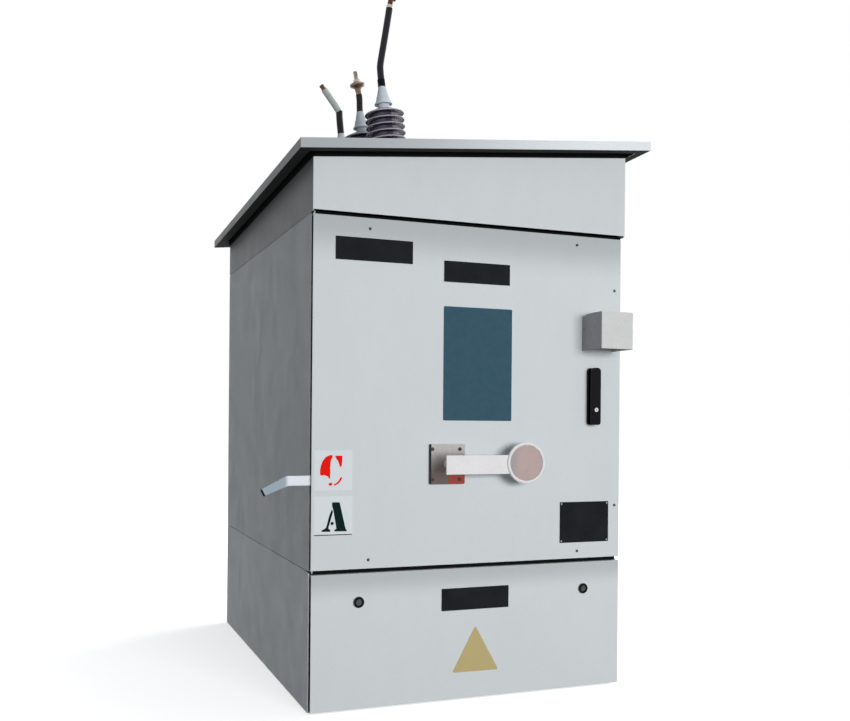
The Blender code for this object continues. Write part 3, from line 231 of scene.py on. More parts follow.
def dark_paint_and_painted_shade():
    """A flat near-black paint with dust: painted shade inside the seams, under the eaves and under
    the hood, and the dark colour of the lock bezels and the lever's end.
    """
    material, tree, shader = new_finish(
        "dark_chassis_primer", "#0C0D0E", 0.72, Specular_IOR_Level=0.1
    )
    mottle(tree, shader, 22, 0.35, "#1A1C1D")
    relief(tree, shader, 0.03, 2.2, detail=2)
    return material


def white_enamel(name, colour, shade, painted_shade_from=None, painted_shade_colour="#98A8B5", fade=0.014):
    """Sprayed gloss enamel on steel, a little yellowed, with a soft flow-out ripple.

    Left of a given x a darker colour is painted in as shade, and comes in over the fade.
    """
    material, tree, shader = new_finish(name, colour, 0.30, Coat_Weight=0.25)
    mottle(tree, shader, 38, 0.45, shade)
    # Painted shade on the part that turns away from the light.
    if painted_shade_from is not None:
        tint(tree, shader, band(tree, 0, painted_shade_from, painted_shade_from - fade), painted_shade_colour)
    mottle(tree, shader, 4.5, 0.08, "#8E8A80", contrast=0.1)
    uneven(tree, shader, 12, 0.24, 0.38)
    relief(tree, shader, 0.02, 5, detail=1)
    return material


def brushed_stainless(name, colour, stretch, roughness=0.34):
    """Stainless sheet brushed one way: long fine scratches that stretch each highlight."""
    material, tree, shader = new_finish(name, colour, roughness, 1.0)
    mottle(tree, shader, 1.1, 0.45, "#6F6A66", stretch, 4)
    mottle(tree, shader, 30, 0.30, "#A39A92")
    uneven(tree, shader, 1.1, roughness - 0.08, roughness + 0.12, stretch, 4)
    relief(tree, shader, 0.008, 0.8, stretch=stretch, detail=2)
    return material


def plate_with_painted_light():
    """The brushed plate behind the handle, with a painted reflection: bright above, warm brown
    below.
    """
    material, tree, shader = new_finish("brushed_stainless_plate", "#C9C6C4", 0.34, 1.0)
    stretch = (1, 1, 40)
    mottle(tree, shader, 1.1, 0.35, "#7A7572", stretch, 4)
    (left, _, foot), (_, _, top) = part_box("handle_plate")
    # Painted reflection: the plate darkens to warm brown toward the bottom.
    tint(tree, shader, band(tree, 2, top - 0.010, foot + 0.015), "#6E625F")
    # A red reflection is painted in under the arm, and the plate's left edge is painted dark as
    # shade.
    under_arm = {
        0: band(tree, 0, left + 0.050, left + 0.056),
        1: band(tree, 2, foot + 0.040, foot + 0.030),
    }
    red_reflection = add_node(tree, "ShaderNodeMath", under_arm, operation="MULTIPLY")
    tint(tree, shader, red_reflection.outputs[0], "#9C4C42")
    tint(tree, shader, band(tree, 0, left + 0.0042, left + 0.0034), "#2E3234")
    uneven(tree, shader, 1.1, 0.28, 0.46, stretch, 4)
    relief(tree, shader, 0.008, 0.8, stretch=stretch, detail=2)
    return material


def zinc_plate(name, colour, bloom):
    """Passivated zinc on steel: a soft grey metal with a cloudy bloom."""
    material, tree, shader = new_finish(name, colour, 0.38, 1.0)
    mottle(tree, shader, 14, 0.4, bloom)
    uneven(tree, shader, 5, 0.30, 0.48)
    relief(tree, shader, 0.006, 1.2, detail=2)
    return material


def chrome():
    """Bright nickel-chrome: a near mirror, with handling marks in the roughness only."""
    material, tree, shader = new_finish("bright_chrome", "#D8D8DA", 0.08, 1.0)
    uneven(tree, shader, 3, 0.05, 0.16)
    return material


def polished_face():
    """Polished stainless disc face: a warm reflection to the right and faint turned circles."""
    material, tree, shader = new_finish("polished_stainless_face", "#BBA5A3", 0.26, 1.0)
    mottle(tree, shader, 24, 0.5, "#A99C9C", stretch=(1, 1, 3), detail=1)
    left_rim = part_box("handle_disc")[0][0]
    tint(tree, shader, band(tree, 0, left_rim + 0.05, left_rim), "#A09E9F")
    uneven(tree, shader, 6, 0.24, 0.34, detail=1)
    relief(tree, shader, 0.002, 2.0, stretch=(6, 1, 1), detail=1)
    return material


def laminate(name, colour, scuff):
    """Engraver's laminate: hard satin film that shows dust and hairline scuffs."""
    material, tree, shader = new_finish(name, colour, 0.32, Specular_IOR_Level=0.06)
    mottle(tree, shader, 60, 0.10, scuff)
    mottle(tree, shader, 0.9, 0.03, scuff, stretch=(9, 1, 1))
    uneven(tree, shader, 40, 0.30, 0.38)
    relief(tree, shader, 0.006, 1.4, detail=1)
    return material


def vinyl_film(name, colour, shade, roughness=0.36):
    """Calendered vinyl film: even colour, light sheen, tiny trapped-air ripples."""
    material, tree, shader = new_finish(name, colour, roughness, Specular_IOR_Level=0.08)
    mottle(tree, shader, 15, 0.25, shade)
    relief(tree, shader, 0.03, 7, detail=2)
    return material


def silicone_shed():
    """Moulded weather-shed rubber, dark grey-violet and glossy, paler on top with dust and painted
    light, and painted lighter on its flanks as light.
    """
    material, tree, shader = new_finish("weather_shed_silicone", "#2B2832", 0.2)
    facing = add_node(tree, "ShaderNodeNewGeometry").outputs["Normal"]
    upward = add_node(tree, "ShaderNodeSeparateXYZ", {0: facing}).outputs[2]
    across = add_node(tree, "ShaderNodeSeparateXYZ", {0: facing}).outputs[0]
    # The top is paler with dust and painted light; the flanks are painted lighter as light, pale
    # lilac on the right and mid-grey on the left, while the side that faces the door stays dark.
    for value, low, high, share, colour in (
        (upward, -0.1, 0.8, 0.62, "#8C8794"),
        (across, 0.18, 0.34, 0.85, "#8D8794"),
        (across, -0.2, -0.5, 0.6, "#6B6874"),
    ):
        span = {"From Min": low, "From Max": high, "To Max": share}
        dust_and_light = add_node(tree, "ShaderNodeMapRange", {"Value": value, **span})
        tint(tree, shader, dust_and_light.outputs[0], colour)
    mottle(tree, shader, 9, 0.2, "#1E1C24")
    uneven(tree, shader, 12, 0.20, 0.3, detail=1)
    relief(tree, shader, 0.02, 9, detail=1)
    return material


def moulded_rubber(name, colour, shade, roughness=0.5, shine=0.5):
    """Press-moulded rubber: matt skin, mould bloom in soft clouds, fine flow marks."""
    material, tree, shader = new_finish(name, colour, roughness, Specular_IOR_Level=shine)
    mottle(tree, shader, 11, 0.5, shade)
    uneven(tree, shader, 7, roughness - 0.1, roughness + 0.12)
    relief(tree, shader, 0.02, 1.5, detail=2)
    return material


def bare_metal(name, colour, patina, roughness, spread=0.6, size=10):
    """Bare copper alloy: bright where rubbed, with a brown oxide bloom in patches."""
    material, tree, shader = new_finish(name, colour, roughness, 1.0)
    mottle(tree, shader, size, spread, patina, detail=5)
    uneven(tree, shader, size, roughness - 0.1, roughness + 0.2, detail=4)
    relief(tree, shader, 0.02, 1.3, detail=3)
    return material


def glass_filled_nylon():
    """Glass-filled nylon: jet black with a fine spark-eroded grain."""
    material, tree, shader = new_finish(
        "glass_filled_nylon", "#0D0C10", 0.34, Specular_IOR_Level=0.1
    )
    mottle(tree, shader, 8, 0.35, "#17161B")
    relief(tree, shader, 0.02, 0.7, detail=1)
    return material


def cast_epoxy():
    """Vacuum-cast epoxy, oxide red: semi-gloss, slightly uneven, with a mould skin."""
    material, tree, shader = new_finish("cast_epoxy", "#7A3A2C", 0.36)
    mottle(tree, shader, 26, 0.35, "#5F2A20")
    relief(tree, shader, 0.03, 3.5, detail=2)
    return material


PAINT = powder_coat("grey_powder_coat", "#CBD0D2", seams=(BODY_FOOT, BODY_TOP))
# The door and the cover are painted darker below the seam above them, as shade.
DOOR_PAINT = powder_coat("door_powder_coat", "#CBD0D2", [(1.2595, 1.12)], 0.36)
COVER_PAINT = powder_coat("cover_powder_coat", "#CDD2D4", [(0.3495, 0.27)], 0.3)
SKIRT_PAINT = powder_coat("skirt_powder_coat", "#C8CDCF", skirt=True)
BASE_PAINT = powder_coat("base_powder_coat", "#DDE2E4", seams=(BODY_FOOT,))
# The roof is painted darker toward the left as shade.
ROOF_PAINT = powder_coat("roof_powder_coat", "#DDE2E5", painted_left_shade="#A3A7AA")
DARK_PAINT_AND_SHADE = dark_paint_and_painted_shade()
ENAMEL = white_enamel("white_enamel", "#E0DFE1", "#D2D0CF")
LEVER_BEND = LEFT - 0.057  # the side lever runs straight out of the wall as far as this
# Past the bend the lever is painted a darker blue-grey as shade.
LEVER_ENAMEL = white_enamel("lever_enamel", "#E4E8EF", "#C9D2DC", LEVER_BEND + 0.005)
PLATE_STEEL = plate_with_painted_light()
LOCK_STEEL = brushed_stainless("turned_stainless", "#8F8A86", (30, 1, 1), 0.3)
# The hood's left side is painted darker as shade.
HOOD_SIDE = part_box("padlock_hood")[0][0] + 0.0024
HOOD_ENAMEL = white_enamel("hood_enamel", "#C8C9C9", "#BDBDBC", HOOD_SIDE, "#8B888E", 0.001)
ZINC = zinc_plate("zinc_plate", "#B9BCBE", "#A59F8E")
# A darker zinc, for screws and the lock cores.
DARK_ZINC = zinc_plate("weathered_zinc", "#5A5D60", "#3E3F40")
CHROME = chrome()
DISC_FACE = polished_face()
BLACK_LAMINATE = laminate("black_laminate", "#15161A", "#4A4C52")
CORE_LAMINATE = laminate("laminate_core", "#B9BDBD", "#8B8F90")
SLATE_FILM = vinyl_film("slate_film", "#34505F", "#466270")
SAND_FILM = vinyl_film("sand_film", "#B8A878", "#A89A70")
WHITE_FILM = vinyl_film("white_film", "#D3D8DB", "#CBD1D4")
RED_FILM = vinyl_film("red_film", "#E51A10", "#C9120C", 0.42)
GREEN_FILM = vinyl_film("green_film", "#05191A", "#0A2624", 0.42)
SHED = silicone_shed()
# The pale drip edge of the sheds is a painted highlight.
SHED_EDGE = moulded_rubber("dusty_shed_edge", "#A39EAE", "#8A8595", 0.4)
CORE_RUBBER = moulded_rubber("grey_core_insulation", "#B7C0BE", "#99A2A0", 0.46)
CAP_RUBBER = moulded_rubber("grey_moulded_rubber", "#BCC6CE", "#A0ACB6", 0.46)
JACKET = moulded_rubber("black_cable_jacket", "#19171B", "#242028", 0.44, 0.2)
COLLAR = moulded_rubber("heat_shrink_collar", "#08080A", "#0E0D12", 0.5, 0.1)
GASKET = moulded_rubber("gasket_rubber", "#16161A", "#232327", 0.7)
COPPER = bare_metal("oxidised_copper", "#74544B", "#3A2522", 0.42, spread=0.9)
BUSBAR = bare_metal("busbar_copper", "#C27F5E", "#93573C", 0.28, size=30)
BRONZE = bare_metal("cast_bronze", "#8F786B", "#4C3A33", 0.36)
STUD = bare_metal("tinned_stud", "#C9C4BB", "#9A948A", 0.32)
NYLON = glass_filled_nylon()
EPOXY = cast_epoxy()


# ---- mesh tools


def in_scene(name, data):
    """A new object of a mesh, curve, lamp or camera, linked to the scene."""
    made = bpy.data.objects.new(name, data)
    bpy.context.scene.collection.objects.link(made)
    return made


def smoothed(mesh, angle):
    """Shades a mesh smooth across edges that bend less than an angle in degrees."""
    mesh.shade_smooth()
    mesh.set_sharp_from_angle(angle=math.radians(angle))


def piece(name, shape, material, smooth=35):
    """Makes a mesh object from a bmesh that it frees, with faces smooth up to an angle."""
    mesh = bpy.data.meshes.new(name)
    shape.to_mesh(mesh)
    shape.free()
    smoothed(mesh, smooth)
    mesh.materials.append(material)
    return in_scene(name, mesh)


def settled(source, smooth=None):
    """The object as its modifiers and place leave it, as a plain mesh at the origin."""
    bpy.context.view_layer.update()
    graph = bpy.context.evaluated_depsgraph_get()
    mesh = bpy.data.meshes.new_from_object(source.evaluated_get(graph))
    mesh.transform(source.matrix_world)
    name = source.name
    bpy.data.objects.remove(source)
    if smooth is not None:
        smoothed(mesh, smooth)
    mesh.name = name
    return in_scene(name, mesh)


def rides(made, body, slot, *replaced):
    """Gives a finished piece its body, and hides the frame solids it stands for. The slot is not
    used.
    """
    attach(made, body)
    if replaced:
        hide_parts(*replaced)
    return made


def broken_edges(source, width, segments=2, angle=30):
    """Puts a small round on every sharp edge of an object and settles it."""
    bevel = source.modifiers.new("edge", "BEVEL")
    bevel.width = width
    bevel.segments = segments
    bevel.limit_method = "ANGLE"
    bevel.angle_limit = math.radians(angle)
    bevel.use_clamp_overlap = True
    weighted = source.modifiers.new("flat_faces", "WEIGHTED_NORMAL")
    weighted.keep_sharp = True
    weighted.weight = 100
    return settled(source)


def deburred(node, width, material, segments=2):
    """A copy of a frame solid, welded and with its edges rounded, which stands for it."""
    shape = bmesh.new()
    shape.from_mesh(NODES[node].data)
    bmesh.ops.remove_doubles(shape, verts=shape.verts, dist=0.00002)
    bmesh.ops.dissolve_limit(
        shape, angle_limit=math.radians(1.0), verts=shape.verts, edges=shape.edges
    )
    made = broken_edges(piece(node + "_sheet", shape, material), width, segments)
    return rides(made, BODY_OF[node], SLOT_OF[node], node)


def refinished(made, material, chosen):
    """Gives the faces of a piece that pass a test a finish of their own."""
    made.data.materials.append(material)
    for face in made.data.polygons:
        if chosen(face):
            face.material_index = 1


def looks_down(face):
    return face.normal.z < -0.5


def cut_out(source, cutter, smooth, crossing=False):
    """The source, settled, less a cutter object, whose parts may be crossing each other."""
    cut = source.modifiers.new("cut", "BOOLEAN")
    cut.operation = "DIFFERENCE"
    cut.use_self = crossing
    cut.object = cutter
    made = settled(source, smooth=smooth)
    bpy.data.objects.remove(cutter)
    return made


def corners(node):
    """The low and the high corner of a frame solid."""
    return [Vector(corner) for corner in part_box(node)]


def in_mm(*points):
    """Points written in millimetres, as metres."""
    return [tuple(c * MM for c in point) for point in points]


def poured(source, shape):
    """Puts the faces of one bmesh, which it frees, into another."""
    scratch = bpy.data.meshes.new("scratch")
    source.to_mesh(scratch)
    source.free()
    shape.from_mesh(scratch)
    bpy.data.meshes.remove(scratch)
    return shape


def box_shape(low, high, shape=None):
    """A box between two corners, in a new bmesh or added to one."""
    shape = shape or bmesh.new()
    low, high = Vector(low), Vector(high)
    made = bmesh.ops.create_cube(shape, size=1)["verts"]
    bmesh.ops.scale(shape, vec=high - low, verts=made)
    bmesh.ops.translate(shape, vec=(low + high) / 2, verts=made)
    return shape


def turned_shape(profile, place, steps=64):
    """Turns a (radius, height) profile about Z and sets it by a matrix."""
    made = bmesh.new()
    rings = [made.verts.new((radius, 0, height)) for radius, height in profile]
    edges = [made.edges.new(pair) for pair in zip(rings, rings[1:])]
    bmesh.ops.spin(
        made,
        geom=rings + edges,
        cent=(0, 0, 0),
        axis=(0, 0, 1),
        angle=2 * math.pi,
        steps=steps,
    )
    bmesh.ops.remove_doubles(made, verts=made.verts, dist=0.000005)
    bmesh.ops.recalc_face_normals(made, faces=made.faces)
    made.transform(place)
    return made


def toward_front(point):
    """A matrix that puts Z along -Y, out of the door, at a point."""
    return Matrix.Translation(point) @ Matrix.Rotation(math.pi / 2, 4, "X")


def plate_shape(outline, thick, place, shape=None):
    """A flat plate from an outline in XY, its back at the place and its face along Z."""
    shape = shape or bmesh.new()
    back = [shape.verts.new(place @ Vector((x, y, 0))) for x, y in outline]
    front = [shape.verts.new(place @ Vector((x, y, thick))) for x, y in outline]
    faces = [shape.faces.new(back[::-1]), shape.faces.new(front)]
    for i in range(len(outline)):
        j = (i + 1) % len(outline)
        faces.append(shape.faces.new((back[i], back[j], front[j], front[i])))
    bmesh.ops.recalc_face_normals(shape, faces=faces)
    return shape


def rounded(width, height, radius, steps=6):
    """The outline of a rectangle about the origin with round corners."""
    points = []
    for corner, (sx, sy) in enumerate(((1, 1), (-1, 1), (-1, -1), (1, -1))):
        for i in range(steps + 1):
            angle = math.pi / 2 * (corner + i / steps)
            x = sx * (width / 2 - radius) + radius * math.cos(angle)
            points.append((x, sy * (height / 2 - radius) + radius * math.sin(angle)))
    return points


def arched(width, height, radius, rise):
    """A rounded rectangle whose top edge is a shallow arch that ends this much lower."""
    points = rounded(width, height, radius)
    return [(x, y - rise * (2 * x / width) ** 2 if y > 0 else y) for x, y in points]


def hexagon(radius):
    """The outline of a hexagon about the origin, by the radius to its corners."""
    turns = (math.radians(60 * i) for i in range(6))
    return [(radius * math.cos(a), radius * math.sin(a)) for a in turns]


def drawn_tube(name, points, radius, material):
    """A smooth round tube along NURBS points, with closed ends."""
    curve = bpy.data.curves.new(name, "CURVE")
    curve.dimensions = "3D"
    curve.bevel_depth = radius
    curve.bevel_resolution = 8
    curve.use_fill_caps = True
    curve.resolution_u = 12
    spline = curve.splines.new("NURBS")
    spline.points.add(len(points) - 1)
    for point, place in zip(spline.points, points):
        point.co = (*place, 1)
    spline.order_u = 3
    spline.use_endpoint_u = True
    made = settled(in_scene(name, curve), smooth=40)
    made.data.materials.clear()
    made.data.materials.append(material)
    return made


# ---- fasteners by geometry nodes


def pan_head():
    """A pan-head screw, 8 mm across, with a crossed recess."""
    profile = in_mm((0, 3), (1.4, 2.9), (2.8, 2.4), (3.7, 1.4), (4, 0), (0, 0))
    head = piece("pan_head", turned_shape(profile, Matrix(), 20), ZINC)
    cross = box_shape((-0.0022, -0.0004, 0.0012), (0.0022, 0.0004, 0.004))
    box_shape((-0.0004, -0.0022, 0.0012), (0.0004, 0.0022, 0.004), cross)
    return cut_out(head, piece("cross", cross, ZINC), 35, crossing=True)


def hex_head():
    """A hexagon bolt head of M8 size on its washer."""
    washer = in_mm((0, 1.6), (8.2, 1.6), (8.5, 1.3), (8.5, 0), (0, 0))
    shape = turned_shape(washer, Matrix(), 24)
    plate_shape(hexagon(0.0072), 0.0052, Matrix.Translation((0, 0, 0.0015)), shape)
    return broken_edges(piece("hex_head", shape, ZINC), 0.0004, 1)


def rivet_head():
    """A domed blind-rivet head with the break of its pin."""
    profile = in_mm((0, 0.9), (0.7, 0.9), (0.8, 1.3), (1.6, 1.1), (2.3, 0.5), (2.4, 0), (0, 0))
    return piece("rivet_head", turned_shape(profile, Matrix(), 16), ZINC)


HEADS = {"pan": pan_head(), "hex": hex_head(), "rivet": rivet_head()}


def fastener_tree():
    """Heads on points, each turned at random about its own axis."""
    tree = bpy.data.node_groups.new("fasteners", "GeometryNodeTree")
    sockets = tree.interface
    sockets.new_socket("Points", in_out="INPUT", socket_type="NodeSocketGeometry")
    for name, kind in (
        ("Head", "NodeSocketObject"),
        ("Facing", "NodeSocketVector"),
        ("Size", "NodeSocketFloat"),
        ("Seed", "NodeSocketInt"),
        ("Finish", "NodeSocketMaterial"),
    ):
        sockets.new_socket(name, in_out="INPUT", socket_type=kind)
    sockets.new_socket("Fasteners", in_out="OUTPUT", socket_type="NodeSocketGeometry")
    given = add_node(tree, "NodeGroupInput").outputs
    head = add_node(tree, "GeometryNodeObjectInfo", {"Object": given["Head"]})
    wiring = {"Points": given["Points"], "Rotation": given["Facing"], "Scale": given["Size"]}
    wiring["Instance"] = head.outputs["Geometry"]
    placed = add_node(tree, "GeometryNodeInstanceOnPoints", wiring)
    # A fitter stops each screw at its own angle.
    wiring = {2: 0.0, 3: math.pi, "Seed": given["Seed"]}
    angle = add_node(tree, "FunctionNodeRandomValue", wiring)
    spin = add_node(tree, "ShaderNodeCombineXYZ", {"Z": angle.outputs[1]})
    wiring = {"Instances": placed.outputs[0], "Rotation": spin.outputs[0], "Local Space": True}
    stopped = add_node(tree, "GeometryNodeRotateInstances", wiring)
    real = add_node(tree, "GeometryNodeRealizeInstances", {0: stopped.outputs[0]})
    wiring = {"Geometry": real.outputs[0], "Material": given["Finish"]}
    finish = add_node(tree, "GeometryNodeSetMaterial", wiring)
    add_node(tree, "NodeGroupOutput", {"Fasteners": finish.outputs[0]})
    return tree


FASTENERS = fastener_tree()


def fastened(name, head, points, body, finish, facing=FACING_FRONT, size=1.0):
    """Sets fasteners on points, all facing one way, as one plain mesh."""
    mesh = bpy.data.meshes.new(name)
    mesh.from_pydata([tuple(p) for p in points], [], [])
    field = in_scene(name, mesh)
    modifier = field.modifiers.new("fasteners", "NODES")
    modifier.node_group = FASTENERS
    values = {"Head": HEADS[head], "Facing": facing, "Size": size, "Finish": finish}
    values["Seed"] = len(points)
    for socket in FASTENERS.interface.items_tree:
        if socket.in_out == "INPUT" and socket.name in values:
            modifier[socket.identifier] = values[socket.name]
    field.update_tag()
    rides(settled(field, smooth=35), body, "zinc_plate")


# ---- sheet metal


def behind_door_top(face):
    """Whether a face of the skirt is on the lip that hangs behind the door's top edge."""
    return face.center.z < BODY_TOP + 0.007 and 0.004 < face.center.y - FRONT < 0.060


def dress_sheet_metal():
    deburred("door", 0.0011, DOOR_PAINT)
    deburred("control_cover", 0.0011, COVER_PAINT)
    # The skirt's lip behind the door's top and the roof's underside are near-black as painted
    # shade.
    refinished(deburred("skirt", 0.0012, SKIRT_PAINT), DARK_PAINT_AND_SHADE, behind_door_top)
    refinished(deburred("roof", 0.0011, ROOF_PAINT), DARK_PAINT_AND_SHADE, looks_down)
    deburred("base_shell", 0.0012, BASE_PAINT)
    for node in ("body_left_wall", "body_right_wall", "rear_panel"):
        deburred(node, 0.0012, PAINT)
    for node in ("floor_plate", "control_bay_partition", "control_box", "switch_plate"):
        NODES[node].data.materials[0] = PAINT
    # The front frame, seen through the seams, is near-black as painted shade.
    NODES["front_frame"].data.materials[0] = DARK_PAINT_AND_SHADE
    NODES["door_gasket"].data.materials[0] = GASKET
    by_slot = {"copper": BUSBAR, "zinc_plate": ZINC, "red_resin": EPOXY, "black_plastic": NYLON}
    for node in BODY_OF:
        if SLOT_OF[node] in by_slot:
            NODES[node].data.materials[0] = by_slot[SLOT_OF[node]]


# ---- insulators and leads


def axis_of(node):
    """The centres of the lower and upper ends of a piece that stands square to the roof."""
    points = [vertex.co.copy() for vertex in NODES[node].data.vertices]
    heights = [point.dot(ROOF_NORMAL) for point in points]
    ends = []
    for limit in (min(heights), max(heights)):
        level = [p for p, h in zip(points, heights) if abs(h - limit) < 0.05 * MM]
        ring = {tuple(round(c, 6) for c in p) for p in level}
        ends.append(sum((Vector(p) for p in ring), Vector()) / len(ring))
    return ends


def standing(point, up):
    """A matrix that puts Z along a direction, at a point."""
    return Matrix.Translation(point) @ up.to_track_quat("Z", "Y").to_matrix().to_4x4()


STACK = 0.2156  # height of a bushing over the roof
FOOT = 0.041  # height of its lowest shed
PITCH = 0.0194
SHEDS = 9
DRIP_EDGE = 0.0572  # radius outside which a shed is its pale drip edge
BOLT_CIRCLE = 0.062
FLANGE_TOP = 0.0116
CAP_HEIGHT = 0.0683
CLAMP_LEAN = math.radians(-10)


def shed_stack():
    """Umbrella sheds with a drip edge, over a foot that flares to a clamped flange."""
    core, rim = 0.0355, 0.0590
    points = [(0, STACK), (0.014, STACK), (0.0165, STACK - 0.001), (0.026, STACK - 0.004)]
    for shed in reversed(range(SHEDS)):
        low = FOOT + shed * PITCH
        points += [(core, low + 0.0160), (core + 0.0035, low + 0.0142)]
        points += [(core + 0.0100, low + 0.0118), (rim - 0.0050, low + 0.0082)]
        points += [(rim - 0.0012, low + 0.0062), (rim, low + 0.0044), (rim - 0.0008, low + 0.0026)]
        points += [(rim - 0.0032, low + 0.0020), (rim - 0.0080, low + 0.0034)]
        points += [(core + 0.0040, low + 0.0044), (core, low + 0.0026)]
    points.append((core, FOOT - 0.006))
    return points + in_mm((41, 26), (45, 21.5), (45, 13.5), (0, 13.5))


def clamp_flange():
    return in_mm(
        (0, 14), (47.5, 14), (50, 12.5), (72, 11), (74.5, 9), (74.5, 3.2), (73.8, 2.6),
        (0, 2.6),
    )


def stem_profile():
    return in_mm(
        (0, 3), (29.8, 3), (29.8, -145), (28, -150), (10.5, -150), (9.8, -151), (9.8, -198),
        (8.8, -200), (0, -200),
    )


def cap_shape(place):
    """A moulded cap: neck, bell with a hollow underside, and a ringed cone."""
    profile = in_mm(
        (0, 68), (10.2, 68), (11.2, 67.2), (11.8, 63), (13.4, 56), (15.2, 48), (16.8, 41.2),
        (17.2, 39.6), (17, 38.9), (18.6, 38.2), (19, 37.4), (19.2, 34), (20.5, 28.5),
        (22.5, 23.5), (25, 19.5), (26.6, 17.2), (27, 15.8), (26.8, 14.6), (25.6, 13.8),
        (23.2, 14.6), (20, 16), (17.6, 15), (17.2, 13), (17.2, 1.6), (16.6, 0.3), (0, 0.3),
    )
    return turned_shape(profile, place)


def tied(foot, *offsets):
    """The points of a lead from the middle of its cap and their offsets from there."""
    return [foot + Vector(offset) for offset in offsets]


def build_insulators():
    tops = []
    for number in (1, 2, 3):
        foot, top = axis_of(f"bushing_{number}")
        place = standing(top - ROOF_NORMAL * STACK, ROOF_NORMAL)

        def on_drip_edge(face, foot=foot):
            out = (face.center - foot) - ROOF_NORMAL * (face.center - foot).dot(ROOF_NORMAL)
            return out.length > DRIP_EDGE

        stack = piece(f"shed_stack_{number}", turned_shape(shed_stack(), place), SHED, 50)
        # The drip edge of every shed is painted pale as a highlight.
        refinished(stack, SHED_EDGE, on_drip_edge)
        rides(stack, "housing", "glazed_shed", f"bushing_{number}")
        flange = piece(f"clamp_flange_{number}", turned_shape(clamp_flange(), place), CAP_RUBBER)
        rides(flange, "housing", "grey_rubber")
        ring = in_mm((30, 2.4), (73, 2.4), (73.5, 0.4), (30, 0.4), (30, 2.4))
        dark_band = piece(f"roof_seal_{number}", turned_shape(ring, place), GASKET)
        rides(dark_band, "housing", "black_rubber")
        stem = piece(f"bushing_stem_{number}", turned_shape(stem_profile(), place), EPOXY)
        rides(stem, "housing", "red_resin")
        facing = tuple(ROOF_NORMAL.to_track_quat("Z", "Y").to_euler())
        turns = (math.radians(45 + 60 * i) for i in range(6))
        circle = [(BOLT_CIRCLE * math.cos(a), BOLT_CIRCLE * math.sin(a)) for a in turns]
        bolts = [place @ Vector((x, y, FLANGE_TOP)) for x, y in circle]
        fastened(f"flange_bolts_{number}", "hex", bolts, "housing", ZINC, facing, 0.8)
        cap = cap_shape(standing(top, ROOF_NORMAL))
        cap = piece(f"moulded_cap_{number}", cap, CAP_RUBBER, 40)
        rides(cap, "housing", "grey_rubber", f"bushing_cap_{number}")
        tops.append(top + ROOF_NORMAL * CAP_HEIGHT)
    build_leads(tops)


def build_leads(tops):
    """Three leads that leave their caps square to the roof, each with its own bend."""
    up = ROOF_NORMAL * 0.012
    bend = ((-0.0055, 0, 0.050), (-0.0060, 0, 0.064), (0.0104, 0, 0.1613), (0.0219, 0, 0.2371))
    first = tied(tops[0], (0, 0, 0), up, *bend)
    lead = drawn_tube("insulated_lead_1", first, 0.010, JACKET)
    rides(lead, "housing", "black_rubber", "lead_1")
    collar = tied(first[0], ROOF_NORMAL * -0.0002, up, (-0.0030, 0, 0.0215))
    rides(drawn_tube("shrink_collar_1", collar, 0.0113, COLLAR), "housing", "black_rubber")

    lean = Matrix.Rotation(CLAMP_LEAN, 3, "Y")
    clamp_foot = Vector((-0.0039, 0, 0.0545))
    under_clamp = clamp_foot - lean @ Vector((0, 0, 0.016))
    second = tied(tops[1], (0, 0, 0), up, under_clamp, clamp_foot)
    sleeve = drawn_tube("insulated_lead_2", second, 0.0100, JACKET)
    rides(sleeve, "housing", "black_rubber", "lead_2")

    # The black jacket of the third lead ends in a square cut, and the grey core goes on.
    knee = (-0.0066, 0, 0.076)
    sleeve = tied(tops[2], (0, 0, 0), up, (-0.0052, 0, 0.0456), knee, knee)
    jacket = drawn_tube("insulated_lead_3", sleeve, 0.0114, JACKET)
    rides(jacket, "housing", "black_rubber", "lead_3")
    cut, end = sleeve[-1], tied(tops[2], (-0.0346, 0, 0.1118), (-0.0603, 0, 0.1432))
    bare = [cut - Vector((-0.0002, 0, 0.004)), cut + (end[1] - cut).normalized() * 0.004, end[1]]
    core = drawn_tube("grey_insulation_3", bare, 0.0110, CORE_RUBBER)
    rides(core, "housing", "grey_rubber")
    build_terminals(first[-2:], tops[1] + clamp_foot, end)


def crimped_barrel(length, crimps):
    """The profile of a round socket, from its far end down, pressed in where it is crimped."""
    barrel = [(0, length), (0.0070, length), (0.0082, length - 0.0015)]
    for crimp in crimps:
        barrel += [(0.0083, crimp + 0.0033), (0.0074, crimp + 0.0020)]
        barrel += [(0.0074, crimp - 0.0020), (0.0083, crimp - 0.0033)]
    return barrel + [(0.0084, 0.0004), (0, 0.0004)]


